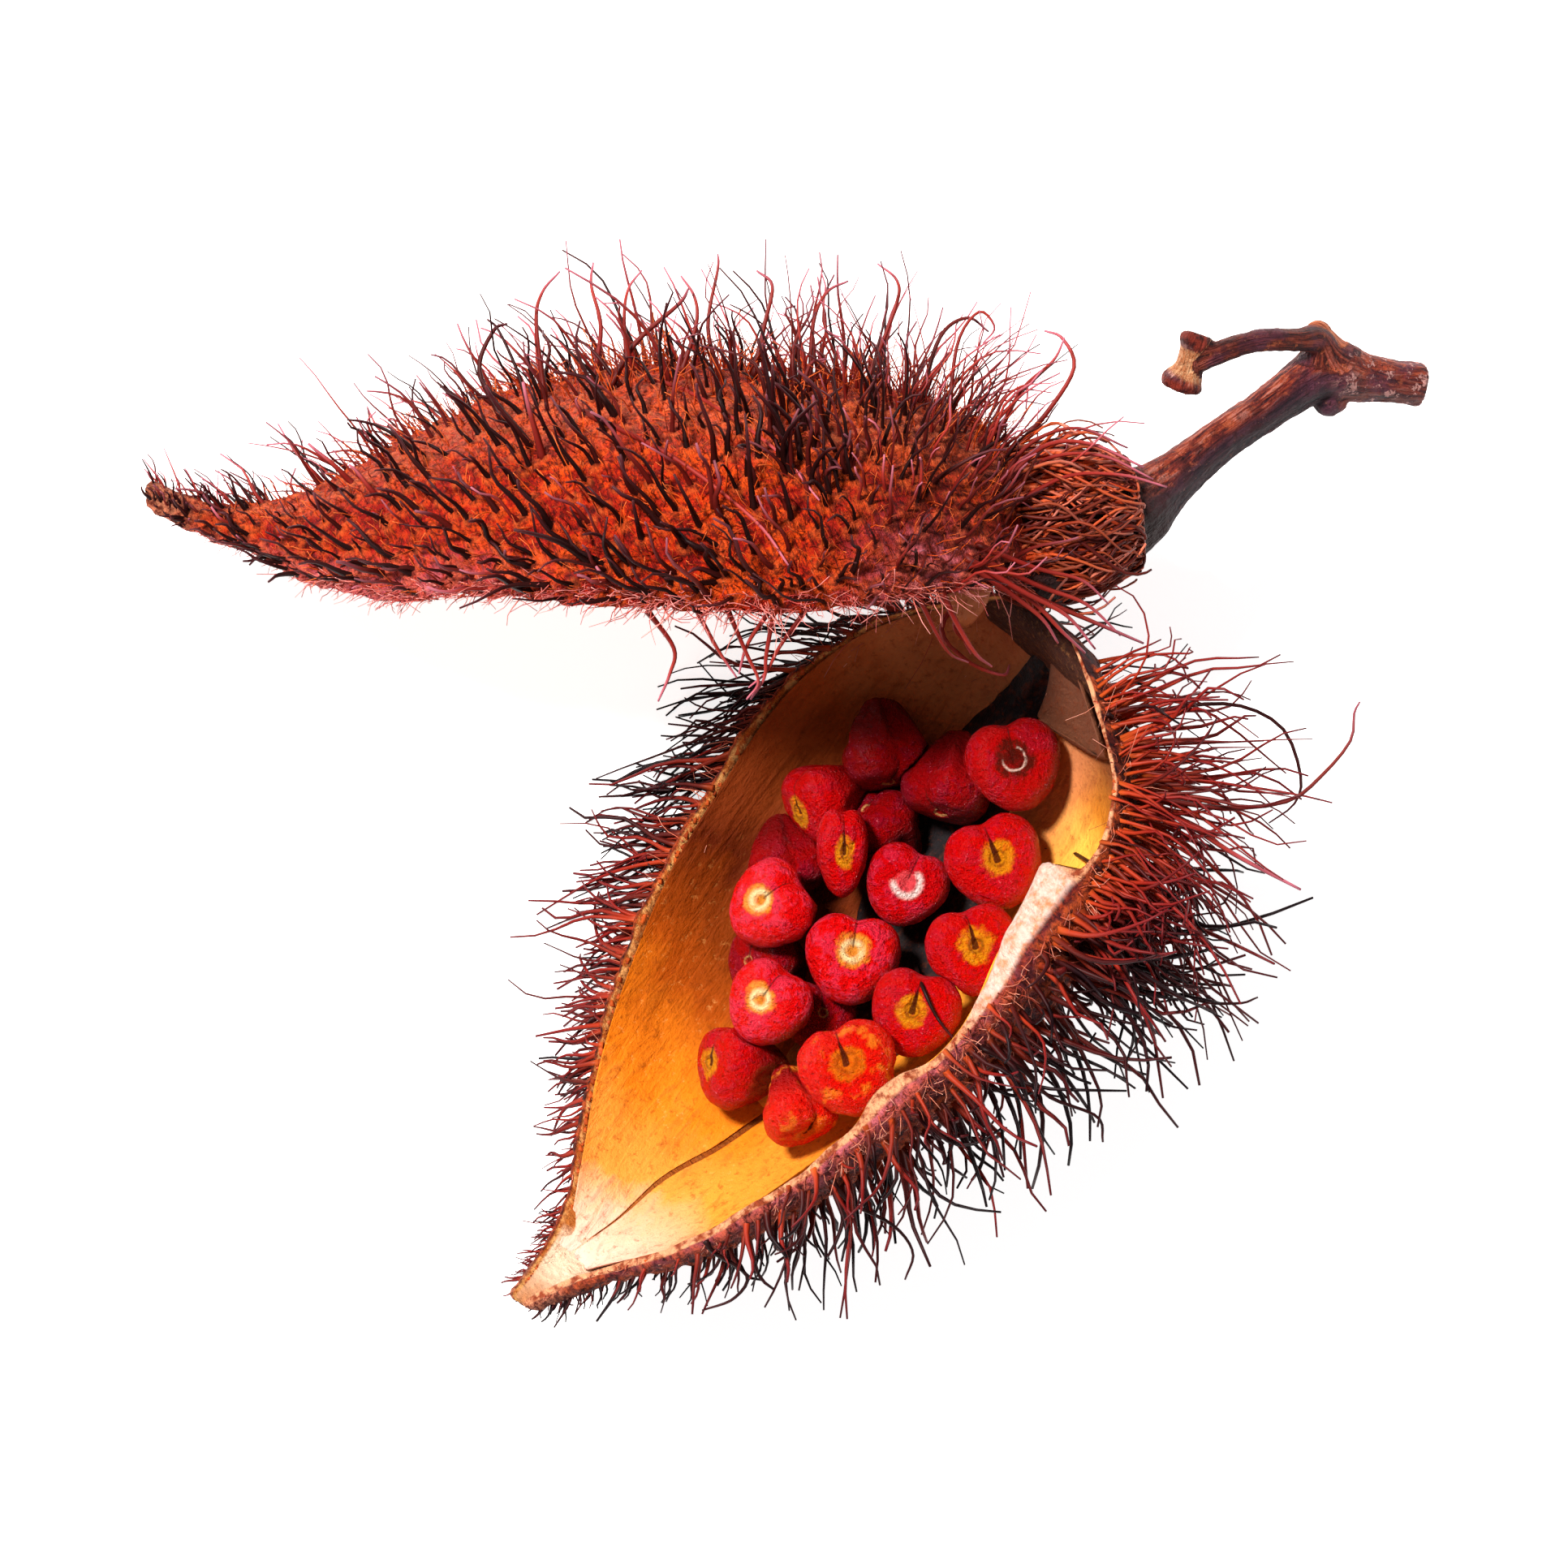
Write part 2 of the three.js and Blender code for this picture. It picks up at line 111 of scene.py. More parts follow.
def fade(value, low, high):
    """0 below low, 1 above high, and smooth between them."""
    u = np.clip((value - low) / (high - low), 0, 1)
    return u * u * (3 - 2 * u)


def unit(vectors):
    """The same ways, each of length 1."""
    return vectors / np.linalg.norm(vectors, axis=-1, keepdims=True)


print("a profile through 0, 2 and 1, halfway:", profile([(0, 0), (1, 2), (2, 1)])(0.5))

# %% [markdown]
# ## The shape of a valve
# A valve is half an ovoid round an axis from its base to its beak. `left` and `right` are the half
# widths of its mouth, `depth` is how far its back stands off the mouth, `dip` bends the axis and
# `hair` is how long its bristles are. A point of the wall is found from how far along it lies (0 to
# 1), how many degrees round (-90 at the left edge of the mouth, 90 at the right one), and how deep
# in the wall. `lip` is how far the right rim folds inward, and `lean` is how far the bristles lean
# toward the beak.

# %% Valve
WALL = 1.1                 # thickness of the wall along the back
RIM_TAPER = 0.4            # how much thinner it is at the right edge of the mouth
LEFT_TAPER = 0.8           # and at the left one
GAP = 0.3                  # air between two pieces that sit together
LIP_FROM = 62              # the right rim folds inward between these, in degrees
LIP_TO = 86
LEAST = 0.25               # no half width or depth of a valve is less than this


class Valve:
    """A half shell. The profiles run along it, from base to beak."""

    def __init__(self, base, beak, mouth, left, right, depth, dip, lip, hair, lean_left, lean_right):
        self.base = np.array(base)
        axis = np.array(beak) - self.base
        self.length = np.linalg.norm(axis)
        self.along = axis / self.length
        self.open = unit(np.array(mouth) - np.dot(mouth, self.along) * self.along)
        self.side = np.cross(self.open, self.along)
        self.left = profile(left)
        self.right = profile(right)
        self.depth = profile(depth)
        self.dip = profile(dip)
        self.lip = profile(lip)
        self.hair = profile(hair)
        self.lean_left = profile(lean_left)
        self.lean_right = profile(lean_right)

    def point(self, t, degrees, inset=0.0, lift=0.0):
        """Places t along and degrees round, inset into the wall and lifted out of the mouth."""
        t, degrees, inset, lift = np.broadcast_arrays(t, degrees, inset, lift)
        angle = np.radians(degrees)
        taper = np.where(degrees < 0, LEFT_TAPER, RIM_TAPER) * (1 - np.cos(angle))
        inward = inset - np.where(inset > 0, taper, 0)
        lip = np.where(inset > 0, self.lip(t) * fade(degrees, LIP_FROM, LIP_TO), 0)
        middle = (self.right(t) - self.left(t)) / 2
        width = np.maximum((self.right(t) + self.left(t)) / 2 - inward, LEAST)
        depth = np.maximum(self.depth(t) - inward, LEAST)
        across = middle + width * np.sin(angle) - lip
        out = lift + self.dip(t) - depth * np.cos(angle)
        place = (self.base + self.along * (self.length * t)[..., None]
                 + self.side * across[..., None] + self.open * out[..., None])
        place[..., 2] = np.maximum(place[..., 2], inset)
        return place

    def facing(self, t, degrees):
        """Which way the wall faces there."""
        step = 0.01
        lengthwise = self.point(np.minimum(t + step, 1), degrees) - self.point(t - step, degrees)
        crosswise = self.point(t, degrees + 1) - self.point(t, degrees - 1)
        return unit(np.cross(crosswise, lengthwise))


LOWER = Valve(
    base=(13.5, 8.6, 12.5), beak=(-14.0, -26.4, 7.5), mouth=(-0.58, 0.35, 0.74),
    left=[(0, 2.2), (0.04, 4.6), (0.12, 8.6), (0.2, 10.8), (0.3, 11.7), (0.43, 11.1),
          (0.53, 10.2), (0.65, 8.0), (0.75, 5.4), (0.83, 2.6), (0.9, 0.4), (1, 0.2)],
    right=[(0, 2.8), (0.03, 6.0), (0.08, 10.2), (0.18, 12.9), (0.28, 13.3), (0.4, 13.2),
           (0.53, 12.3), (0.69, 10.2), (0.83, 7.2), (0.91, 3.9), (1, 1.2)],
    depth=[(0, 2.6), (0.04, 5.0), (0.11, 8.4), (0.2, 10.2), (0.3, 10.9), (0.43, 10.6),
           (0.55, 9.5), (0.65, 7.9), (0.75, 5.9), (0.83, 4.0), (0.9, 2.3), (1, 0.8)],
    dip=[(0, 0), (1, 0)],
    lip=[(0, 0), (0.19, 0), (0.205, 2.7), (0.25, 2.3), (0.33, 1.5), (0.38, 0.6), (0.42, 0.1), (0.47, 0.1),
         (0.51, 0.8), (0.545, 0.9), (0.58, 0.2), (0.62, 0.1), (1, 0)],
    hair=[(0, 9.4), (0.15, 8.2), (0.45, 6.3), (0.65, 4.9), (0.8, 2.8), (0.95, 1.5), (1, 1.2)],
    lean_left=[(0, 0.3), (0.08, 0.5), (0.15, 0.7), (0.25, 0.8), (0.35, 0.6), (0.5, 0.25), (0.65, 0.05),
               (0.8, 0.3), (1, 0.6)],
    lean_right=[(0, 0), (0.03, 0.2), (0.08, 0.2), (0.15, 0.15), (0.25, -0.1), (0.35, 0), (0.5, 0.1),
                (0.65, 0.3), (0.8, 0.45), (1, 0.6)])
UPPER = Valve(
    base=(13.0, 11.6, 13.0), beak=(-32.7, 14.7, 8.4), mouth=(-0.07, -0.931, -0.358),
    left=[(0, 2.6), (0.044, 5.4), (0.09, 7.6), (0.16, 9.6), (0.25, 11.0), (0.35, 11.6),
          (0.46, 11.5), (0.527, 10.9), (0.637, 9.2), (0.7, 7.7), (0.75, 6.3), (0.81, 4.4),
          (0.87, 2.4), (0.94, 1.1), (1, 0.8)],
    right=[(0, 2.6), (0.044, 5.4), (0.09, 7.6), (0.16, 9.6), (0.25, 10.8), (0.35, 11.3),
           (0.46, 11.3), (0.527, 10.8), (0.637, 9.2), (0.7, 7.7), (0.75, 6.3), (0.81, 4.4),
           (0.87, 2.4), (0.94, 1.1), (1, 0.8)],
    depth=[(0, 2.5), (0.044, 5.0), (0.09, 6.3), (0.16, 7.1), (0.33, 7.9), (0.43, 8.1),
           (0.527, 7.3), (0.637, 6.7), (0.7, 5.9), (0.75, 4.8), (0.81, 3.1), (0.87, 1.7),
           (0.94, 0.95), (1, 0.75)],
    dip=[(0, 0), (0.16, -0.4), (0.3, 0), (0.5, 0), (0.6, 0.6), (0.7, 1.9), (0.8, 2.2),
         (0.87, 1.8), (0.94, 1.3), (1, 0)],
    lip=[(0, 0), (1, 0)],
    hair=[(0, 6.2), (0.15, 6.0), (0.35, 6.6), (0.5, 5.8), (0.63, 4.6), (0.75, 4.3), (0.85, 3.2),
          (0.95, 2.2), (1, 1.7)],
    lean_left=[(0, -0.4), (0.08, -0.2), (0.15, 0.05), (0.25, 0.25), (0.35, 0.45), (0.65, 0.6),
               (0.8, 0.7), (1, 0.6)],
    lean_right=[(0, -0.6), (0.1, -0.3), (0.2, 0), (0.35, 0.15), (0.5, 0.35), (0.65, 0.6), (0.8, 0.8),
                (1, 0.6)])
print("valve lengths:", round(LOWER.length, 1), round(UPPER.length, 1))

# %% [markdown]
# ## One tube for every grown piece
# Shells, skins, bristles and the stem are all closed tubes that have been bent and flattened. So each
# starts as the same primitive: a cylinder whose upright edges are subdivided into stations. Where a
# vertex then goes is worked out from its height in the cylinder and its turn round it.

# %% Tubes
def unit_tube(name, around, stations):
    """A closed cylinder from -0.5 to 0.5 along Z, its upright edges cut into that many stations."""
    bpy.ops.object.select_all(action="DESELECT")
    bpy.ops.mesh.primitive_cylinder_add(vertices=around, radius=1, depth=1, end_fill_type="TRIFAN")
    tube = bpy.context.object
    tube.name = name
    tube.data.name = name
    bpy.ops.object.mode_set(mode="EDIT")
    bpy.ops.mesh.select_mode(type="EDGE")
    bpy.ops.mesh.select_all(action="DESELECT")
    bpy.ops.object.mode_set(mode="OBJECT")
    points = tube.data.vertices
    for edge in tube.data.edges:
        low, high = (points[i].co.z for i in edge.vertices)
        edge.select = abs(high - low) > 0.5
    bpy.ops.object.mode_set(mode="EDIT")
    bpy.ops.mesh.subdivide(number_cuts=stations - 1)
    bpy.ops.object.mode_set(mode="OBJECT")
    return tube


def corners(piece):
    """The places of a mesh's vertices, as an array."""
    flat = np.empty(len(piece.data.vertices) * 3)
    piece.data.vertices.foreach_get("co", flat)
    return flat.reshape(-1, 3)


def stations_of(tube):
    """How far along the tube each vertex lies (0 to 1), how far round (0 to 1), and the end hubs."""
    at = corners(tube)
    turn = np.arctan2(at[:, 1], at[:, 0]) / (2 * math.pi) % 1
    hub = np.hypot(at[:, 0], at[:, 1]) < 0.5
    return np.clip(at[:, 2] + 0.5, 0, 1), np.round(turn, 6) % 1, hub


def settle(piece, places):
    """Moves every vertex to its place, given in millimetres."""
    piece.data.vertices.foreach_set("co", (places * MM).ravel())
    piece.data.update()


def note(piece, name, values):
    """Writes a number, or three, on every vertex for the finish to read."""
    kind, key = ("FLOAT", "value") if values.ndim == 1 else ("FLOAT_VECTOR", "vector")
    layer = piece.data.attributes.new(name, kind, "POINT")
    layer.data.foreach_set(key, values.astype(np.float32).ravel())


def noted(piece, name):
    """The numbers noted under that name."""
    layer = piece.data.attributes[name]
    values = np.empty(len(layer.data), np.float32)
    layer.data.foreach_get("value", values)
    return values


def apply_modifier(piece, kind, **settings):
    """Adds a modifier with these settings and applies it."""
    bpy.ops.object.select_all(action="DESELECT")
    bpy.context.view_layer.objects.active = piece
    piece.select_set(True)
    modifier = piece.modifiers.new(kind.title(), kind)
    for key, value in settings.items():
        setattr(modifier, key, value)
    bpy.ops.object.modifier_apply(modifier=modifier.name)


def smooth(piece, levels=1):
    """Smooth shading, after that many levels of subdivision."""
    if levels:
        apply_modifier(piece, "SUBSURF", levels=levels, render_levels=levels)
    bpy.ops.object.select_all(action="DESELECT")
    bpy.context.view_layer.objects.active = piece
    piece.select_set(True)
    bpy.ops.object.shade_smooth()


def roughen(piece, size, height, depth=2):
    """Lumps of about that size, pushed in and out of the surface by half that height."""
    clouds = bpy.data.textures.new(piece.name + "_lumps", "CLOUDS")
    clouds.noise_scale = size * MM
    clouds.noise_depth = depth
    apply_modifier(piece, "DISPLACE", texture=clouds, strength=height * MM, mid_level=0.5)


def triangles(piece):
    """How many triangles a mesh comes to."""
    return sum(len(face.vertices) - 2 for face in piece.data.polygons)


# %% [markdown]
# ## Writing shader maths in Python
# A finish is a small calculation that runs at every point of a surface. Wiring Math nodes by hand
# hides the formula, so two small classes write it instead. A `Value` is a number that changes over
# the surface, and Python's own operators add the Math nodes. A `Finish` holds one material and its
# one method for adding any node.

# %% Colours
def paint(code):
    """A colour written as six hexadecimal digits, as the linear light that shaders work in."""
    parts = [((code >> shift) & 255) / 255 for shift in (16, 8, 0)]
    return tuple(p / 12.92 if p < 0.04045 else ((p + 0.055) / 1.055) ** 2.4 for p in parts) + (1.0,)


print("a middle grey, as light:", [round(part, 3) for part in paint(0x808080)])


# %% Values that change over a surface
class Value:
    """A number that changes over a surface."""

    def __init__(self, finish, socket):
        self.finish = finish
        self.socket = socket

    def maths(self, operation, *others):
        """Adds a Math node."""
        inputs = dict(enumerate((self,) + others))
        added = self.finish.node("ShaderNodeMath", {"operation": operation}, inputs)
        return Value(self.finish, added.outputs[0])

    def __add__(self, other):
        return self.maths("ADD", other)

    __radd__ = __add__

    def __mul__(self, other):
        return self.maths("MULTIPLY", other)

    __rmul__ = __mul__

    def __sub__(self, other):
        return self.maths("SUBTRACT", other)

    def __rsub__(self, other):
        return (self * -1) + other

    def __truediv__(self, other):
        return self.maths("DIVIDE", other)

    def rise(self, low, high):
        """0 below low and 1 above high, smoothly; with low above high it falls instead."""
        inputs = {"Value": self, "From Min": low, "From Max": high}
        settings = {"interpolation_type": "SMOOTHSTEP"}
        return Value(self.finish, self.finish.node("ShaderNodeMapRange", settings, inputs).outputs[0])

    def bell(self, centre, width):
        """1 at the centre, fading to 0 that width away on both sides."""
        return (self - centre).maths("ABSOLUTE").rise(width, 0)


# %% [markdown]
# A material could be put together in the shader editor, but a script can make twenty that differ only
# in their colours. So one class adds the nodes, feeds them, and hands the material over at the end.

# %% Materials
class Finish:
    """One material, and the nodes that it is made of."""

    def __init__(self, name):
        self.material = bpy.data.materials.new(name)
        self.material.use_nodes = True
        self.tree = self.material.node_tree
        self.shader = self.tree.nodes["Principled BSDF"]

    def node(self, kind, settings=None, inputs=None):
        """Adds any node: its settings first, a ramp's stops among them, and then its inputs."""
        added = self.tree.nodes.new(kind)
        for key, value in (settings or {}).items():
            if key == "stops":
                for _ in range(len(value) - 2):
                    added.color_ramp.elements.new(0.5)
                for element, (position, colour) in zip(added.color_ramp.elements, value):
                    element.position = position
                    element.color = colour
            else:
                setattr(added, key, value)
        for key, value in (inputs or {}).items():
            self.feed(added.inputs[key], value)
        return added

    def feed(self, socket, value):
        """Links a value to an input, or types a plain number into it."""
        if isinstance(value, Value):
            value = value.socket
        if isinstance(value, bpy.types.NodeSocket):
            self.tree.links.new(value, socket)
        else:
            socket.default_value = value

    def attribute(self, name):
        """A number noted on the piece's vertices."""
        return Value(self, self.node("ShaderNodeAttribute", {"attribute_name": name}).outputs["Fac"])

    def parts(self, name):
        """The three numbers of a vector attribute."""
        vector = self.node("ShaderNodeAttribute", {"attribute_name": name}).outputs["Vector"]
        split = self.node("ShaderNodeSeparateXYZ", None, {0: vector})
        return [Value(self, output) for output in split.outputs]

    def place(self, sizes=(1, 1, 1), turn=0.0):
        """Object coordinates in millimetres, turned about Z and then divided by the sizes."""
        coordinates = self.node("ShaderNodeTexCoord").outputs["Object"]
        inputs = {"Vector": coordinates, "Scale": tuple(s * MM for s in sizes), "Rotation": (0, 0, turn)}
        return self.node("ShaderNodeMapping", {"vector_type": "TEXTURE"}, inputs).outputs[0]

    def joined(self, x, y, z):
        """Three values as one vector."""
        return self.node("ShaderNodeCombineXYZ", None, {0: x, 1: y, 2: z}).outputs[0]

    def noise(self, size, detail=3.0, roughness=0.55, twist=0.0, place=None):
        """Soft noise from about 0.3 to 0.7, in patches of that many millimetres."""
        inputs = {"Vector": place or self.place(), "Scale": 1 / size, "Detail": detail,
                  "Roughness": roughness, "Distortion": twist}
        return Value(self, self.node("ShaderNodeTexNoise", None, inputs).outputs[0])

    def blend(self, share, first, second):
        """The first colour where the share is 0 and the second where it is 1."""
        inputs = {0: share, 6: first, 7: second}
        return self.node("ShaderNodeMix", {"data_type": "RGBA"}, inputs).outputs[2]

    def ramp(self, value, stops):
        """Colours along a value: stops are (position, colour code)."""
        settings = {"stops": [(position, paint(code)) for position, code in stops]}
        return self.node("ShaderNodeValToRGB", settings, {0: value}).outputs[0]

    def relief(self, height, depth):
        """Bumps whose height, in millimetres, is depth times the value."""
        inputs = {"Height": height, "Distance": depth * MM, "Strength": 1.0}
        return self.node("ShaderNodeBump", None, inputs).outputs[0]

    def surface(self, **inputs):
        """Fills the shader's own sockets and gives back the finished material."""
        for key, value in inputs.items():
            self.feed(self.shader.inputs[key.replace("_", " ")], value)
        return self.material


# %% [markdown]
# Every piece is dressed alike: its material, the body that it rides on, and
# the imported solids that it takes the place of.

# %% Dressing a piece
def dress(piece, material, slot, *nodes):
    """Gives a piece its material and its place in the frame, and hides the solids it stands for."""
    piece.data.materials.clear()
    piece.data.materials.append(material)
    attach(piece, "root")
    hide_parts(*nodes)
    print(piece.name, triangles(piece), "triangles")

# %% [markdown]
# ## The two shells
# A shell could be a bowl with a Solidify modifier, but its wall thins toward the rim and closes at
# both ends. So the tube is laid as a hairpin instead: the first part of each ring runs round the
# outside from the left rim to the right one, and the rest comes back along the inside.

# %% Shell form
SHELL_AROUND = 120
SHELL_STATIONS = 92
OUTER_SHARE = 0.64         # share of a ring's vertices that lie on the outside
HOLLOW_FROM = 0.02         # the hollow starts and ends here, along the valve
HOLLOW_TO = 0.965
CLOSING_BASE = 0.04        # and closes over these shares of its length
CLOSING_BEAK = 0.06
LID_DEPTH = 0.2            # how far below the mouth the closed ends lie
RIM_WAVE = 0.28            # how far the rims rise and fall
RIM_POWER = 6              # the higher, the closer to the rims that stays


def wave(t, seed):
    """The unevenness of a rim along its length, between about -1 and 1."""
    return (np.sin(t * 23 + seed) + 0.6 * np.sin(t * 57 + 2 * seed) + 0.35 * np.sin(t * 101 + seed)) / 1.95


def shell_places(valve, s, turn, seed):
    """Where a shell's vertices go, how many degrees round they lie, and which are on its inside."""
    inside = turn >= OUTER_SHARE
    outward = -90 + 180 * turn / OUTER_SHARE
    back = 90 - 180 * (turn - OUTER_SHARE) / (1 - OUTER_SHARE)
    degrees = np.where(inside, back, outward)
    rim = np.abs(np.sin(np.radians(degrees))) ** RIM_POWER
    lift = RIM_WAVE * rim * wave(s, seed + np.sign(degrees))
    outer = valve.point(s, degrees, 0, lift)
    inner = valve.point(s, degrees, WALL, lift)
    below = np.einsum("ij,j->i", inner - valve.base, valve.open) - valve.dip(s)
    lid = inner - valve.open * np.minimum(below + LID_DEPTH, 0)[:, None]
    opened = fade(s, HOLLOW_FROM, HOLLOW_FROM + CLOSING_BASE) * fade(s, HOLLOW_TO, HOLLOW_TO - CLOSING_BEAK)
    closed = (1 - opened)[:, None]
    inner = inner * (1 - closed) + lid * closed
    return np.where(inside[:, None], inner, outer), degrees, inside


def make_shell(name, valve, seed):
    """A valve's woody wall, with notes of where each vertex lies for its finish."""
    shell = unit_tube(name, SHELL_AROUND, SHELL_STATIONS)
    s, turn, hub = stations_of(shell)
    places, degrees, inside = shell_places(valve, s, turn, seed)
    for end in (0, 1):
        ring = (s == end) & ~hub
        places[(s == end) & hub] = places[ring].mean(0)
    settle(shell, places)
    note(shell, "along", s)
    note(shell, "round", degrees / 90)
    note(shell, "inner", inside.astype(float))
    smooth(shell)
    return shell


lower_shell = make_shell("lower_valve_wall", LOWER, 1.0)
upper_shell = make_shell("upper_valve_wall", UPPER, 4.0)
print("shells:", triangles(lower_shell), triangles(upper_shell), "triangles")

# %% [markdown]
# ## Where the bristles stand
# Bristles stand evenly but never in rows. Steps of an irrational share of the length and of the
# girth spread them, a random nudge breaks the last order, and narrow stretches of the valve keep
# fewer of them. Each stout one lifts the skin round its root into a small wart.

# %% Bristle roots
WART = 0.28                # how high the skin rises round a root
WART_REACH = 0.45          # and how far round it
STEP_ALONG = 0.7548777     # irrational steps, which never fall into rows
STEP_ROUND = 0.5698403
NUDGE_ALONG = 0.006        # random nudges, as a share of the length and in degrees
NUDGE_ROUND = 1.2
ROOTS_FROM = 0.01          # roots start here along the valve and cover this share of it
ROOTS_SPAN = 0.985
ROOTS_EDGE = 89            # the last ones stand this many degrees round
ROOTS_HEIGHT = 0.25        # and none stands lower over the table than this
SPARSE_SHARE = 0.3         # what even the narrowest stretch keeps of its roots


def scatter(valve, count, seed, crowd=1.0):
    """Roots on the outside of a valve: how far along it, and degrees round it. Crowd below 1 moves
    them toward the rims."""
    dice = np.random.default_rng(seed)
    i = np.arange(count) + seed
    t = ROOTS_FROM + ROOTS_SPAN * ((0.5 + i * STEP_ALONG) % 1) + dice.normal(0, NUDGE_ALONG, count)
    across = 2 * ((0.5 + i * STEP_ROUND) % 1) - 1
    degrees = ROOTS_EDGE * np.sign(across) * np.abs(across) ** crowd + dice.normal(0, NUDGE_ROUND, count)
    girth = valve.left(t) + valve.right(t) + 2 * valve.depth(t)
    kept = dice.random(count) < girth / girth.max() + SPARSE_SHARE
    kept &= valve.point(t, degrees)[:, 2] > ROOTS_HEIGHT
    reach = ROOTS_EDGE + 0.5
    return np.clip(t[kept], ROOTS_FROM, ROOTS_FROM + ROOTS_SPAN), np.clip(degrees[kept], -reach, reach)


def rim_roots(valve, count, seed, first, last, start=0.02, end=0.98):
    """More roots between first and last degrees, mostly a band along one rim."""
    dice = np.random.default_rng(seed)
    t = start + (end - start) * dice.random(count)
    degrees = first + (last - first) * dice.random(count)
    kept = valve.point(t, degrees)[:, 2] > ROOTS_HEIGHT
    return t[kept], degrees[kept]


def together(*roots):
    """Several lots of roots as one."""
    return tuple(np.concatenate(values) for values in zip(*roots))


def raise_warts(shell, roots):
    """Lifts the skin round each root and notes how far."""
    tree = KDTree(len(roots))
    for i, root in enumerate(roots):
        tree.insert(root, i)
    tree.balance()
    places = corners(shell) / MM
    normals = np.empty(len(places) * 3)
    shell.data.vertices.foreach_get("normal", normals)
    near = np.array([tree.find(place)[2] for place in places])
    rise = WART * np.exp(-(near / WART_REACH) ** 2) * (noted(shell, "inner") < 0.5)
    settle(shell, places + normals.reshape(-1, 3) * rise[:, None])
    note(shell, "wart", rise / WART)


lower_roots = together(scatter(LOWER, 1020, 3, 0.7), rim_roots(LOWER, 470, 4, -89, -70),
                       rim_roots(LOWER, 240, 41, 50, 87, 0.02, 0.28),
                       rim_roots(LOWER, 60, 42, -85, 85, 0.88, 0.99))
upper_roots = together(scatter(UPPER, 760, 5), rim_roots(UPPER, 60, 6, -89, -75),
                       rim_roots(UPPER, 150, 43, -50, 60, 0.04, 0.3),
                       rim_roots(UPPER, 90, 44, -85, 85, 0.86, 0.995))
raise_warts(lower_shell, LOWER.point(*lower_roots))
raise_warts(upper_shell, UPPER.point(*upper_roots))
roughen(lower_shell, 1.2, 0.16)
roughen(upper_shell, 1.1, 0.34)
for shell in (lower_shell, upper_shell):  # lumps may not push the back through the table
    places = corners(shell) / MM
    settle(shell, np.column_stack([places[:, :2], np.maximum(places[:, 2], 0)]))
print("bristle roots:", len(lower_roots[0]), len(upper_roots[0]))

# %% [markdown]
# ## Bristles
# Particle hair would be quicker, but it isn't a mesh that other programs can use. One four-sided tube
# with seven stations is modelled, and its vertices and faces are copied for every bristle, each copy
# laid round its own bent centre line. A copy costs some thirty faces, so thousands stay affordable.

# %% Bundles of hairs
HAIR_STATIONS = 7
ODD_WAY = [0.13, 0.21, 0.34]  # an axis for straight hairs, which no hair lies along
ROOT_FLARE = 0.5           # how much thicker a hair is where it leaves the wall
FLARE_FALL = 14            # the higher, the sooner that ends


def strand_pattern(sides, stations):
    """One strand's vertices and faces: how far along, how far round, the end hubs, and the faces."""
    strand = unit_tube("strand", sides, stations)
    s, turn, hub = stations_of(strand)
    faces = [list(face.vertices) for face in strand.data.polygons]
    bpy.data.objects.remove(strand)
    return s, turn, hub, faces


def bundle(name, lines, thickness, tone, ends=0.4, point=1.0, sides=4):
    """One mesh of many hairs: lines is (hairs, stations + 1, 3), thickness the radius at each root.
    The radius falls toward the tip to the share ends of it, the faster the higher point is."""
    count, stations = len(lines), lines.shape[1] - 1
    s, turn, hub, faces = strand_pattern(sides, stations)
    step = np.clip((s * stations).round().astype(int), 0, stations)
    heading = unit(np.gradient(lines, axis=1) + 1e-9)
    spread = np.cross(heading[:, 0], heading[:, -1]) + np.cross(heading[:, 0], ODD_WAY) * 0.05
    spread = unit(spread)[:, None, :] + np.zeros_like(lines)
    rise = unit(np.cross(heading, spread))
    spread = np.cross(rise, heading)
    share = np.linspace(0, 1, stations + 1)
    taper = (ends + (1 - ends) * (1 - share) ** point) * (1 + ROOT_FLARE * np.exp(-share * FLARE_FALL))
    radius = thickness[:, None] * taper[None, :]
    radius = np.where(hub[None, :], 0, radius[:, step])
    angle = turn * 2 * math.pi
    places = (lines[:, step] + spread[:, step] * (radius * np.cos(angle))[..., None]
              + rise[:, step] * (radius * np.sin(angle))[..., None])
    corner_lists = [[corner + len(s) * hair for corner in face]
                    for hair in range(count) for face in faces]
    mesh = bpy.data.meshes.new(name)
    mesh.from_pydata((places.reshape(-1, 3) * MM).tolist(), [], corner_lists)
    piece = bpy.data.objects.new(name, mesh)
    bpy.context.scene.collection.objects.link(piece)
    note(piece, "tip", np.tile(s, count))
    note(piece, "tone", np.repeat(tone, len(s)))
    smooth(piece, 0)
    return piece


# %% [markdown]
# A dried hair is never straight: it leaves its root one way, swings over toward another as it nears its
# tip, and wavers between. Centre lines are worked out from those three, for a whole bundle at once.

# %% How a hair bends
SUNK = 0.25                # how far a hair starts inside the wall
WAVER = 0.085              # how far it wavers, as a share of its length
WAVER_TURN = 5             # how far the waver turns along it, in radians, and what chance adds
WAVER_EXTRA = 4
HOOK_POWER = 2.2           # the higher, the more of the bend is in the tip
HOOK_SHORTENS = 0.25       # how much of its hook a hair loses in reach
ANY_PHASE = 6.3            # a full turn, in radians


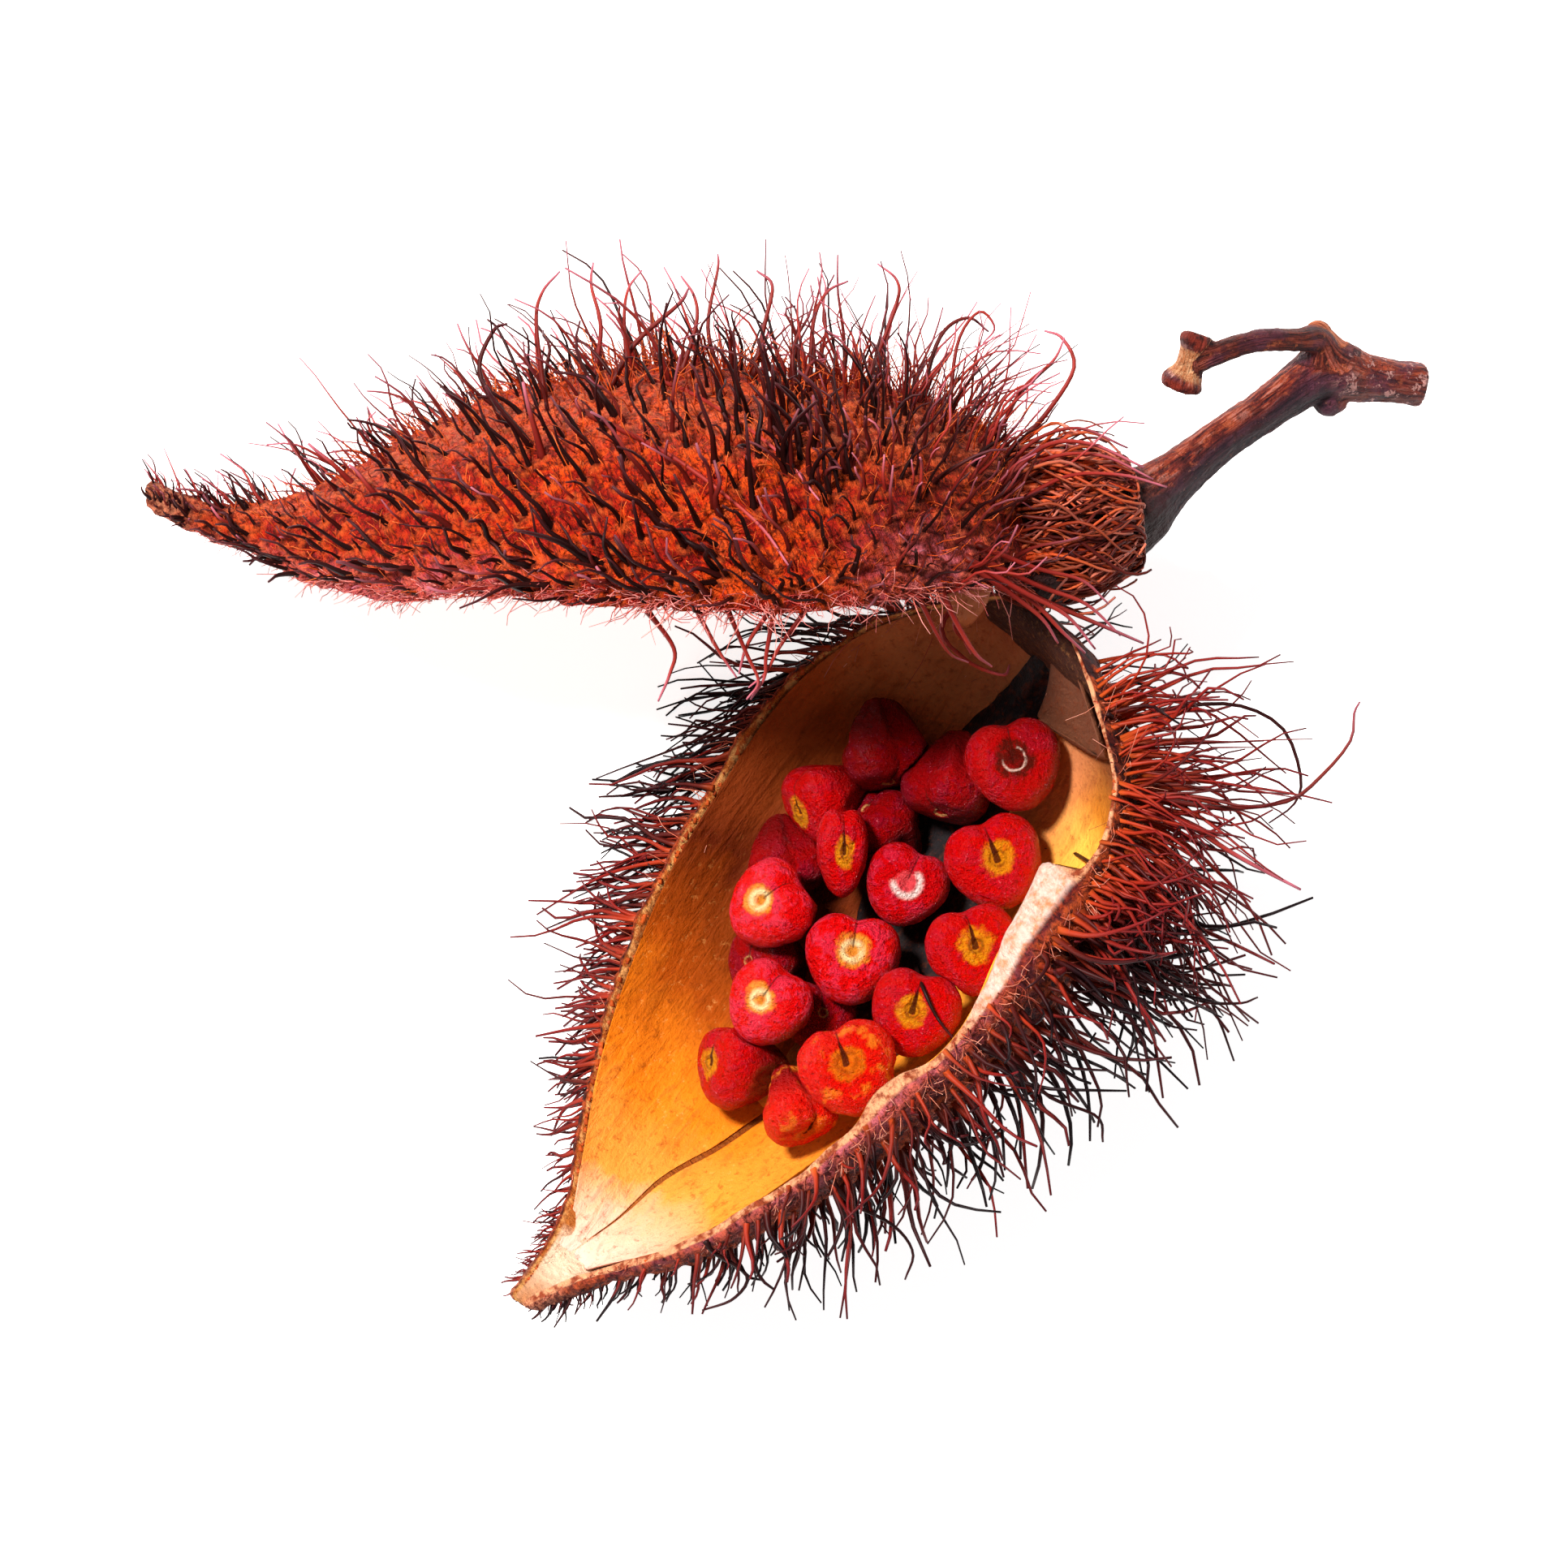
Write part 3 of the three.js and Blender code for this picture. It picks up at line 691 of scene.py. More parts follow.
def hair_lines(roots, ways, bends, lengths, curl, stations):
    """Centre lines that leave their roots along ways, swing toward bends and waver a little."""
    count = len(roots)
    share = np.linspace(0, 1, stations + 1)[None, :, None]
    length = lengths[:, None, None]
    sway = unit(np.cross(ways, bends) + 1e-6)[:, None, :]
    phase = chance.random((count, 1, 1)) * ANY_PHASE
    beat = WAVER_TURN + WAVER_EXTRA * chance.random((count, 1, 1))
    waver = length * WAVER * np.sin(beat * share + phase) * share
    hook = curl[:, None, None] * length * share ** HOOK_POWER
    along = length * (share - HOOK_SHORTENS * np.abs(hook) / length) - SUNK
    return roots[:, None, :] + ways[:, None, :] * along + bends[:, None, :] * hook + sway * waver


print("a strand's faces:", len(strand_pattern(4, HAIR_STATIONS)[3]))


# %% [markdown]
# The bristles near the stem lean back over it and those near the beak lean forward. On the upper
# valve they are also combed up, away from the mouth: those on its face are short, stout and lie close
# to the wall, those along its top are long and thin. Between them grows a short wavy down, thickest
# along the rims. No bristle goes below the table.

# %% Bristles on the valves
FLOOR_CLEARANCE = 0.06
EDGES = ((-33.8, 33.8), (-28.0, 28.2), (0.0, 28.0))  # no hair reaches beyond these, along X, Y and Z
SHORTEST = 0.4             # the shortest bristle, as a share of the full length
LENGTH_EXTRA = 0.85        # and what chance adds to that
STEEPEST = 0.4             # how steeply a bristle may point down
CURL = 0.22                # how far a bristle's tip swings, as a share of its length
CURL_ON_TOP = 0.12         # and how much more it does along the top of the valve
CURL_SPREAD = 0.06         # how much chance changes the swing, and how much more on wild ones
CURL_WILD = 0.8
BEND_SPREAD = 0.5          # how much chance changes which way a tip swings
BEND_IN = -0.3             # and how far it turns back toward the wall
COMBED_RIM = 0.4           # share of the combing that bristles at the rims keep
THINNEST = 0.7             # the thinnest bristle, as a share of the full radius
RADIUS_EXTRA = 0.6         # and what chance adds to that
SHORT_THIN = 0.6           # how thick the short ones are, as a share of the long ones
SHORT_LENGTH, LONG_LENGTH = 0.8, 4
BASE_THIN = 0.7            # and those near the stem
TONE_SPREAD = 0.27         # how much chance changes a bristle's colour


def keep_inside(lines, start):
    """Draws hairs that would pass an edge back toward their roots, and lays low ones on the table."""
    for axis, (least, most) in enumerate(EDGES):
        root = start[:, axis:axis + 1]
        off = lines[..., axis] - root
        up = (most - root) / np.maximum(off.max(1, keepdims=True), 0.1)
        down = (root - least) / np.maximum(-off.min(1, keepdims=True), 0.1)
        lines[..., axis] = root + off * np.clip(np.minimum(up, down if axis < 2 else 1), 0, 1)
    lines[..., 2] = np.maximum(lines[..., 2], FLOOR_CLEARANCE)


def grow(name, valve, roots, seed, warmth, combed=0.0, stout=(0.14, 0.14), wild=0.16, short=(1, 1),
         ends=0.4, stations=HAIR_STATIONS, sides=4):
    """Bristles of a valve. Combed is how far they are swept away from its mouth. Stout is the radius
    at the root and short the share of the full length, each for the left face and for the rest.
    warmth(t, degrees) tells how red rather than black each one is."""
    dice = np.random.default_rng(seed)
    t, degrees = roots
    count = len(t)
    start = valve.point(t, degrees)
    out = valve.facing(t, degrees)
    right = 0.5 + 0.5 * np.sin(np.radians(degrees))
    top = fade(degrees, -25, 10)
    lean = valve.lean_left(t) * (1 - right) + valve.lean_right(t) * right + dice.normal(0, wild, count)
    swept = COMBED_RIM + (1 - COMBED_RIM) * np.cos(np.radians(degrees))
    away = combed * swept + dice.normal(0, wild, count)
    ways = unit(out + valve.along * np.tan(np.clip(lean, -1, 1))[:, None] - valve.open * away[:, None]
                + valve.side * dice.normal(0, wild, count)[:, None])
    bends = unit(valve.along * np.sign(lean)[:, None] * dice.random(count)[:, None]
                 + dice.normal(0, BEND_SPREAD, (count, 3)) + out * BEND_IN)
    lengths = valve.hair(t) * (SHORTEST + LENGTH_EXTRA * dice.random(count))
    lengths *= short[0] + (short[1] - short[0]) * top
    ways[:, 2] = np.maximum(ways[:, 2], -np.minimum(start[:, 2] / lengths, STEEPEST))
    ways = unit(ways)
    curl = dice.normal(CURL + CURL_ON_TOP * top, CURL_SPREAD + wild * CURL_WILD, count)
    lines = hair_lines(start, ways, bends, lengths, curl, stations)
    keep_inside(lines, start)
    radius = (stout[0] + (stout[1] - stout[0]) * top) * (THINNEST + RADIUS_EXTRA * dice.random(count))
    radius *= ((SHORT_THIN + (1 - SHORT_THIN) * fade(lengths, SHORT_LENGTH, LONG_LENGTH))
               * (BASE_THIN + (1 - BASE_THIN) * fade(t, 0.08, 0.3)))
    warm = np.clip(warmth(t, degrees) + dice.normal(0, TONE_SPREAD, count), 0, 1)
    return bundle(name, lines, radius, warm, ends, sides=sides)


# %% [markdown]
# The colours mostly follow the plant; on the lower valve, the black of the right side is partly painted
# shade. Warmth says how red a bristle is, and changes over each valve.

# %% The valves' bristles and down
def lower_warmth(t, degrees):
    """Black low on the right side, partly as painted shade, red on the left, near the stem and close to the
    rim.
    """
    left = 0.22 + 0.5 * fade(t, 0.35, 0.7)
    # The black of the right side is partly the bristles' own colour and partly painted shade.
    right = 0.24 + 0.6 * fade(t, 0.3, 0.06) + 0.3 * fade(degrees, 76, 88)
    return np.where(degrees < 0, left, right)


def upper_warmth(t, degrees):
    """Reddest over the base and along the far edge."""
    return 0.05 + 0.35 * fade(t, 0.3, 0.05) + 0.45 * fade(degrees, -15, 10)


def downy(t, degrees):
    """Down is of every colour between, all over."""
    return 0.5 + 0 * t


DOWN = {"wild": 0.45, "ends": 0.5, "stations": 4, "sides": 3}
lower_bristles = grow("lower_valve_bristles", LOWER, lower_roots, 11, lower_warmth,
                      stout=(0.145, 0.17), wild=0.11, ends=0.35)
lower_fringe = together(rim_roots(LOWER, 450, 15, 80, 89), rim_roots(LOWER, 350, 16, -89, -78))
lower_down = grow("lower_valve_down", LOWER, together(scatter(LOWER, 900, 8, 0.7), lower_fringe), 12,
                  downy, stout=(0.05, 0.06), short=(0.28, 0.2), **DOWN)
upper_bristles = grow("upper_valve_bristles", UPPER, upper_roots, 13, upper_warmth, combed=1.0,
                      stout=(0.18, 0.105), wild=0.15, short=(0.72, 1), ends=0.35)
upper_down = grow("upper_valve_down", UPPER, scatter(UPPER, 3000, 9), 14, downy, combed=0.9,
                  stout=(0.06, 0.06), short=(0.3, 0.4), **DOWN)
upper_fringe = grow("upper_valve_fringe", UPPER, rim_roots(UPPER, 900, 17, -89.5, -82), 18, downy,
                    combed=-0.7, stout=(0.055, 0.055), short=(0.3, 0.3), **DOWN)
print("bristles:", triangles(lower_bristles), triangles(upper_bristles), "triangles")
print("down:", triangles(lower_down), triangles(upper_down), "triangles")

# %% [markdown]
# ## The papery linings
# Inside each valve lies a thin skin. It is a tube again, pressed flat: half of each ring lies on the
# wall and the other half comes back a fraction of a millimetre above it. The lining of the lower
# valve is split along the line on which the seeds grew.

# %% Linings
LINING = 0.35              # thickness of the papery skin
PLACENTA = 0.7             # and of the strip that the seeds grew on
SEAM = 0.5                 # half the gap along the seam, in degrees
ON_WALL = WALL + 0.04      # depths at which skins lie
ON_LINING = WALL + LINING + 2 * GAP
FEATHER = 2.0              # a lining thins out over this distance from its edges
EDGE_SHARE = 0.12          # to this share of its thickness
keel = profile([(0, -34), (0.1, -33), (0.29, -24), (0.51, -5), (0.72, -12), (0.8, -26), (0.86, -34),
                (0.9, -50), (0.93, -60), (1, -60)])
strip = profile([(0.05, 8), (0.15, 10), (0.3, 20), (0.5, 20), (0.72, 4)])


def make_skin(name, valve, start, end, span, under, thickness, feather, lip=None, stations=60, around=64,
              far=None):
    """A skin from start to end along a valve; span(t) gives its edges in degrees, and far(degrees)
    moves its far end."""
    skin = unit_tube(name, around, stations)
    s, turn, hub = stations_of(skin)
    upper = turn >= 0.5
    share = np.where(upper, 2 - 2 * turn, 2 * turn)
    t = start + (end - start) * s
    low, high = span(t)
    degrees = low + (high - low) * share
    if far:
        t = t + s * far(degrees)
    lift = lip(t, degrees) if lip else 0
    rim = np.minimum(share, 1 - share) * np.radians(high - low) * valve.depth(t)
    rim = np.minimum(rim, np.minimum(s, 1 - s) * (end - start) * valve.length)
    thin = EDGE_SHARE + (1 - EDGE_SHARE) * fade(rim, 0, feather) if feather else 1
    places = valve.point(t, degrees, np.where(upper, under + thickness * thin, under), lift)
    for hubs in np.flatnonzero(hub):
        ring = np.flatnonzero((s == s[hubs]) & ~hub)
        places[hubs] = places[ring[np.argmin(np.abs(share[ring] - 0.5))]]
    settle(skin, places)
    note(skin, "along", t)
    note(skin, "round", degrees / 90)
    smooth(skin)
    return skin


left_lining = make_skin("lower_lining_left", LOWER, 0.04, 0.92,
                        lambda t: (-88.5 + 0 * t, keel(t) - SEAM), ON_WALL, LINING, FEATHER)
right_lining = make_skin("lower_lining_right_side", LOWER, 0.04, 0.92,
                         lambda t: (keel(t) + SEAM, 87 + 0 * t), ON_WALL, LINING, FEATHER)
# A flap over the right lining near the stem; its dark finish is painted shade.
flap = make_skin("lining_dark_flap", LOWER, 0.03, 0.112,
                 lambda t: (keel(t) + 8, 84 + 0 * t), ON_LINING, LINING, 0, stations=20,
                 far=lambda degrees: -0.045 * fade(degrees, -20, 75))
seed_strip = make_skin("placenta_strip", LOWER, 0.05, 0.66,
                       lambda t: (keel(t) - strip(t), keel(t) + strip(t)), WALL + LINING, PLACENTA, 1.0,
                       around=32)
corner = profile([(0.03, 0.6), (0.068, 3.6), (0.1, 0.4), (0.12, 0), (0.8, 0)])
upper_skin = make_skin("upper_lining_skin", UPPER, 0.04, 0.78, lambda t: (-86 + 0 * t, 86 + 0 * t),
                       ON_WALL + GAP, LINING, 0, lambda t, degrees: corner(t) * fade(degrees, -78, -85), 90)
roughen(seed_strip, 0.8, 0.3)
for lining in (left_lining, right_lining):
    roughen(lining, 3.0, 0.12)
print("linings:", [triangles(skin) for skin in (left_lining, right_lining, flap, seed_strip, upper_skin)])

# %% [markdown]
# ## Seeds
# A seed is like a small apple: a pale disc at its broad end, a notch in its side, and a blunt point
# below. A sphere's rings are drawn out to that outline. Seeds low in the heap are dented where the
# ones above press on them, so each vertex that would lie inside a seed above is drawn back toward
# its own seed's middle.

# %% Seed form
outline_radius = profile([(0, 0), (0.09, 0.5), (0.19, 1.15), (0.31, 1.92), (0.41, 2.36), (0.5, 2.44),
                          (0.6, 1.95), (0.72, 1.3), (0.84, 0.8), (0.93, 0.5), (1, 0)])
outline_height = profile([(0, 1.76), (0.09, 1.83), (0.19, 1.83), (0.31, 1.62), (0.41, 1.0), (0.5, 0.25),
                          (0.6, -0.8), (0.72, -1.95), (0.84, -2.7), (0.93, -2.9), (1, -2.95)])
NOTCH_DEPTH = 0.17         # times the radius there
NOTCH_WIDTH = 0.38         # half the width, in radians


def reach(angle, height):
    """How far a seed stands out at a turn round it, as a share of its outline."""
    dent = np.exp(-(((angle - math.pi / 2) / NOTCH_WIDTH) ** 2)) * np.where(height > -1, 1, 0.4)
    pressed = 0.05 + 0.07 * fade(height, 0, -1.5)
    return 1 - NOTCH_DEPTH * dent + pressed * np.cos(3 * (angle + math.pi / 2))


PLAIN_WARTS = 0.14         # how far an ordinary seed's skin rises and falls
PLAIN_RIDGES = 0.03        # and how deep the flutes down its sides are
FLUTES = 7                 # how many there are
FINE_FLUTES = 13           # and how many fine ones lie between them
FINE_RIDGES = 0.03
GROOVE_DEPTH = 0.2         # the groove from the middle of the disc to the notch
GROOVE_WIDTH = 0.2
RING_RADIUS, RING_WIDTH, RING_HEIGHT = 0.45, 0.15, 0.07
PIT_RADIUS, PIT_DEPTH = 0.28, 0.12
WART_SIZE = 0.9
LEAST_UP = 0.05            # no seed lies flatter than this


class Seed:
    """One seed of the heap: its place, its own axes and what lies inside it."""

    def __init__(self, name, along, right, below, size, lean_x, lean_y, turn, squash,
                 warts=PLAIN_WARTS, ridges=PLAIN_RIDGES):
        self.name = name
        self.size = size
        self.squash = squash
        self.warts = warts
        self.ridges = ridges
        self.centre = LOWER.base + LOWER.along * along + LOWER.side * right - LOWER.open * below
        upward = math.sqrt(max(1 - lean_x ** 2 - lean_y ** 2, LEAST_UP))
        self.up = unit(np.array([lean_x, lean_y, upward]))
        angle = math.radians(turn)
        notch = np.array([-math.sin(angle), math.cos(angle), 0])
        self.notch = unit(notch - self.up * (notch @ self.up))
        self.across = np.cross(self.notch, self.up)

    def from_own(self, own):
        """From the seed's own axes to the pod's."""
        own = own * [self.squash, 1, 1] * self.size
        return self.centre + own[:, :1] * self.across + own[:, 1:2] * self.notch + own[:, 2:] * self.up

    def to_own(self, places, grown):
        """And back, on a seed that is grown by so much."""
        away = places - self.centre
        own = np.stack([away @ self.across / self.squash, away @ self.notch, away @ self.up], 1)
        return own / (self.size + grown)

    def holds(self, places, grown):
        """Which places lie inside the seed, when it is grown by so much."""
        own = self.to_own(places, grown)
        height = own[:, 2]
        heights = outline_height(np.linspace(0.2, 1, 60))
        radii = outline_radius(np.linspace(0.2, 1, 60))
        limit = np.interp(-height, -heights, radii, left=0, right=0)
        angle = np.arctan2(own[:, 1], own[:, 0]) % (2 * math.pi)
        return np.hypot(own[:, 0], own[:, 1]) < limit * reach(angle, height)


# %% [markdown]
# The seeds that lie on top show their discs, and those at the sides turn their flutes to the eye. Each
# is placed in the valve's own directions, the top ones first.

# %% The heap
# along the valve, toward its right edge, below its mouth, size, lean of the disc toward +X and +Y,
# turn of the notch, squash, and how warty and how ridged it is
HEAP = [
    Seed("seed_01", 7.4, -0.2, 5.2, 1.0, 0.0, 0.1, 12, 1),
    Seed("seed_02", 12.0, 1.8, 6.4, 1.02, 0.1, 0.05, 20, 1),
    Seed("seed_03", 15.9, -1.2, 5.6, 0.88, 0.0, 0.05, -25, 1),
    Seed("seed_04", 20.5, -0.1, 4.6, 1.0, 0.0, 0.2, -8, 1),
    Seed("seed_05", 16.5, -3.8, 2.8, 0.98, 0.1, -0.1, 0, 0.55),
    Seed("seed_06", 20.9, -4.0, 1.9, 0.95, -0.5, 0.2, -60, 1),
    Seed("seed_07", 24.7, -0.5, 2.4, 0.92, -0.4, 0.1, -35, 1),
    Seed("seed_08", 24.4, 6.0, 2.8, 1.03, -0.1, 0.15, 20, 1, 0.3),
    Seed("seed_09", 20.2, 5.1, 5.2, 0.95, -0.15, 0.0, -15, 1),
    Seed("seed_10", 16.0, 4.9, 5.8, 0.98, 0.1, 0.1, 15, 1),
    Seed("seed_11", 27.9, 4.5, 3.3, 0.82, 0.3, -0.85, 0, 1, 0.2, 0.06),
    Seed("seed_12", 28.5, -0.8, 3.6, 0.92, -0.88, 0.1, 0, 1),
    Seed("seed_13", 15.3, -7.3, 3.3, 0.9, -0.8, -0.42, 0, 1),
    Seed("seed_14", 10.5, -3.0, 5.4, 0.95, -0.25, -0.92, 0, 1, 0.14, 0.08),
    Seed("seed_15", 11.4, -6.4, 3.7, 0.95, 0.12, -0.95, 0, 1, 0.14, 0.09),
    Seed("seed_16", 19.1, -6.9, 3.5, 0.85, 0.1, -0.93, 0, 1, 0.14, 0.07),
    Seed("seed_17", 14.6, -4.9, 5.6, 0.85, -0.6, 0.65, 0, 1, 0.14, 0.07),
    Seed("seed_18", 23.7, -4.2, 4.4, 0.85, -0.7, 0.1, 0, 1),
    Seed("seed_19", 24.1, -0.5, 5.7, 0.8, 0.2, 0.1, 0, 1),
]
SEED_GAP = 0.04
HALVINGS = 12              # how often the search for a seed's own side is halved


def drawn_back(seed, places, above):
    """Draws what lies inside the seeds above back toward the seed's own middle."""
    for other in above:
        blocked = other.holds(places, SEED_GAP)
        if not blocked.any():
            continue
        low, high = np.zeros(len(places)), np.ones(len(places))
        for _ in range(HALVINGS):
            middle = (low + high) / 2
            stuck = other.holds(seed.centre + (places - seed.centre) * middle[:, None], SEED_GAP)
            high = np.where(stuck, middle, high)
            low = np.where(stuck, low, middle)
        share = np.where(blocked, low, 1)
        places = seed.centre + (places - seed.centre) * share[:, None]
    return places


def make_seed(seed, above):
    """A sphere drawn out to the outline, with a groove, a ring round the disc and flutes."""
    bpy.ops.object.select_all(action="DESELECT")
    bpy.ops.mesh.primitive_uv_sphere_add(segments=64, ring_count=44, radius=1)
    piece = bpy.context.object
    piece.name = seed.name + "_body"
    at = corners(piece)
    polar = np.arccos(np.clip(at[:, 2], -1, 1)) / math.pi
    angle = np.arctan2(at[:, 1], at[:, 0]) % (2 * math.pi)
    height = outline_height(polar)
    radius = outline_radius(polar) * reach(angle, height)
    x, y = radius * np.cos(angle), radius * np.sin(angle)
    groove = GROOVE_DEPTH * np.exp(-(x / GROOVE_WIDTH) ** 2) * fade(y, 0.1, 0.5) * (height > 0)
    ring = RING_HEIGHT * np.exp(-((radius - RING_RADIUS) / RING_WIDTH) ** 2)
    ring = ring - PIT_DEPTH * np.exp(-((radius / PIT_RADIUS) ** 2))
    flutes = seed.ridges * np.cos(FLUTES * angle + height) + FINE_RIDGES * np.cos(FINE_FLUTES * angle)
    flutes = flutes * fade(height, 0.6, -0.8)
    own = np.stack([x * (1 + flutes), y * (1 + flutes), height - groove + ring * (height > 1)], 1)
    settle(piece, drawn_back(seed, seed.from_own(own), above))
    note(piece, "face", own)
    smooth(piece, 0)
    roughen(piece, WART_SIZE - (seed.warts - PLAIN_WARTS), seed.warts)
    return piece


seed_pieces = [make_seed(seed, HEAP[:i]) for i, seed in enumerate(HEAP)]
print("seeds:", len(seed_pieces), "with", triangles(seed_pieces[0]), "triangles each")

# %% [markdown]
# ## The stem
# Stalk, swollen end, fork and side twig are one piece of wood. Each is bent from a tube along a smooth
# path whose points carry a radius, and a voxel remesh then melts the overlapping tubes into one skin,
# as bark grows over a fork. The path points are kept, because the bark's grain follows them.

# %% Paths and bars
def path(stops, count):
    """A smooth path through [x, y, z, radius] stops (Catmull-Rom), as count + 1 rows of the same."""
    stops = np.array(stops, float)
    padded = np.vstack([2 * stops[0] - stops[1], stops, 2 * stops[-1] - stops[-2]])
    position = np.linspace(0, len(stops) - 1, count + 1)
    i = np.minimum(position.astype(int), len(stops) - 2)
    u = (position - i)[:, None]
    a, b, c, d = (padded[i + step] for step in range(4))
    return 0.5 * (2 * b + (c - a) * u + (2 * a - 5 * b + 4 * c - d) * u ** 2
                  + (3 * b - a - 3 * c + d) * u ** 3)


UPRIGHT = [0.1, 0.2, 1.0]  # a way that no part of the stem follows, to set the sides of a bar by


def sides_of(centre):
    """At each point of a line, the way to its side and the way over it."""
    heading = unit(np.gradient(centre, axis=0))
    side = unit(np.cross(heading, UPRIGHT))
    return side, np.cross(side, heading)


def make_bar(name, stops, stations, around, groove=0.0, ribs=5):
    """A bar along a path, with shallow ribs along it."""
    bar = unit_tube(name, around, stations)
    s, turn, hub = stations_of(bar)
    line = path(stops, stations)
    centre, radius = line[:, :3], line[:, 3]
    side, rise = sides_of(centre)
    step = (s * stations).round().astype(int)
    angle = turn * 2 * math.pi
    wide = radius[step] * (1 + groove * np.cos(ribs * angle + 2.5 * s))
    wide = np.where(hub, 0, wide)[:, None]
    places = (centre[step] + side[step] * wide * np.cos(angle)[:, None]
              + rise[step] * wide * np.sin(angle)[:, None])
    settle(bar, places)
    return bar


# %% [markdown]
# The stub is a broken twig, so a short bar is cut out of its end once the tubes are one skin.

# %% Stem form
STALK = [(12.4, 10.2, 12.6, 2.2), (13.6, 12.2, 12.8, 2.8), (15.2, 13.3, 12.7, 3.0), (16.8, 13.8, 12.5, 2.7),
         (18.2, 14.4, 12.3, 2.1), (19.8, 15.6, 11.8, 1.4), (22.3, 17.6, 11.0, 1.1), (24.8, 19.3, 10.2, 1.1),
         (26.8, 20.7, 9.6, 1.3), (28.2, 21.3, 9.1, 1.7), (29.8, 21.0, 8.5, 1.3), (31.4, 20.8, 8.0, 1.1),
         (32.6, 20.65, 7.6, 1.12), (33.0, 20.6, 7.5, 1.0)]
TWIG = [(28.2, 22.0, 9.4, 1.0), (27.4, 22.8, 10.4, 0.8), (26.4, 22.8, 11.3, 0.6), (24.6, 22.8, 11.8, 0.6),
        (23.0, 22.4, 11.7, 0.6), (21.3, 21.7, 11.2, 0.6)]
STUB = [(21.3, 23.1, 11.5, 0.7), (21.2, 22.8, 11.5, 0.9), (21.0, 22.2, 11.3, 0.7), (20.8, 21.4, 11.0, 0.75),
        (20.5, 20.7, 10.8, 1.1), (20.4, 20.4, 10.7, 1.05)]
COLLAR = [(26.9, 23.4, 9.9, 0.3), (27.4, 23.2, 9.9, 0.75), (27.9, 22.6, 9.8, 0.5)]
KNOB = [(27.4, 20.3, 9.0, 0.6), (28.1, 19.7, 8.9, 0.8), (28.9, 19.8, 8.7, 0.4)]
STUB_HOLLOW = [(20.75, 21.3, 10.95, 0.4), (20.5, 20.8, 10.8, 0.72), (20.25, 19.9, 10.6, 0.9)]
VOXEL = 0.12               # size of the remesh's cells
parts_of_stem = [
    make_bar("stem_wood", STALK, 80, 40, 0.05),
    make_bar("twig", TWIG, 40, 24, 0.06, 4),
    make_bar("stub", STUB, 30, 24, 0.03, 6),
    make_bar("collar", COLLAR, 8, 16),
    make_bar("knob", KNOB, 8, 16),
]
hollow = make_bar("stub_hollow", STUB_HOLLOW, 8, 20)
stem = parts_of_stem[0]
bpy.ops.object.select_all(action="DESELECT")
for piece in parts_of_stem:
    piece.select_set(True)
bpy.context.view_layer.objects.active = stem
bpy.ops.object.join()
apply_modifier(stem, "REMESH", mode="VOXEL", voxel_size=VOXEL * MM)
apply_modifier(stem, "BOOLEAN", operation="DIFFERENCE", object=hollow)
bpy.data.objects.remove(hollow)
smooth(stem, 0)
roughen(stem, 0.7, 0.16, 3)
print("stem:", triangles(stem), "triangles")

# %% [markdown]
# The bark's streaks run along each limb. So every point of the wood is noted with how far along the
# nearest path it lies and which way round, and with whether that path is the stub or the collar.

# %% The bark's grain
ways_of_grain = [path(STALK, 200), path(TWIG, 100), path(STUB, 60), path(COLLAR, 30)]
grain = np.vstack(ways_of_grain)[:, :3]
grain_tree = KDTree(len(grain))
for i, spot in enumerate(grain):
    grain_tree.insert(spot, i)
grain_tree.balance()
nearest = np.array([grain_tree.find(place / MM)[1] for place in corners(stem)])
run = np.concatenate([[0], np.cumsum(np.linalg.norm(np.diff(grain, axis=0), axis=1))])
away = corners(stem) / MM - grain[nearest]
side, rise = (ways[nearest] for ways in sides_of(grain))
turn = np.arctan2(np.einsum("ij,ij->i", away, rise), np.einsum("ij,ij->i", away, side))
note(stem, "bark", np.stack([run[nearest], np.cos(turn), np.sin(turn)], 1))
first = np.cumsum([0] + [len(way) for way in ways_of_grain])
limb = np.searchsorted(first, nearest, side="right") - 1
share = (nearest - first[limb]) / (first[limb + 1] - first[limb])
note(stem, "limb", np.stack([limb == 2, limb == 3, share], 1).astype(float))
print("grain: paths of", [len(way) for way in ways_of_grain], "points")

# %% [markdown]
# ## Fibres round the swollen end
# Where the valves join the stem, long fibres lie combed along it, some looping free. They are hairs
# again, but each follows the swollen end: it runs along the stalk's own path, drifts round it, and
# stands off it in the middle of its run.

# %% Fibres
FIBRE_CORE = [(10.4, 13.0, 12.6, 2.8), (12.4, 13.4, 12.7, 3.1), (14.6, 13.5, 12.7, 3.2),
              (16.4, 13.7, 12.5, 2.85), (17.7, 13.9, 12.2, 2.3)]
FIBRE_STEPS = 400
LOOP_STATIONS = 9
SHORTEST_RUN = 0.35        # the shortest fibre, as a share of the longest
FIBRE_WAVER = 0.13         # how far a fibre wavers round the core, in radians, and how fast
FIBRE_WAVES = 6
BED, PILE = 0.1, 0.4       # how far off the core the lowest fibre lies, and how deep they are heaped
FIBRE_RADIUS = 0.07        # the thinnest one, and what chance adds


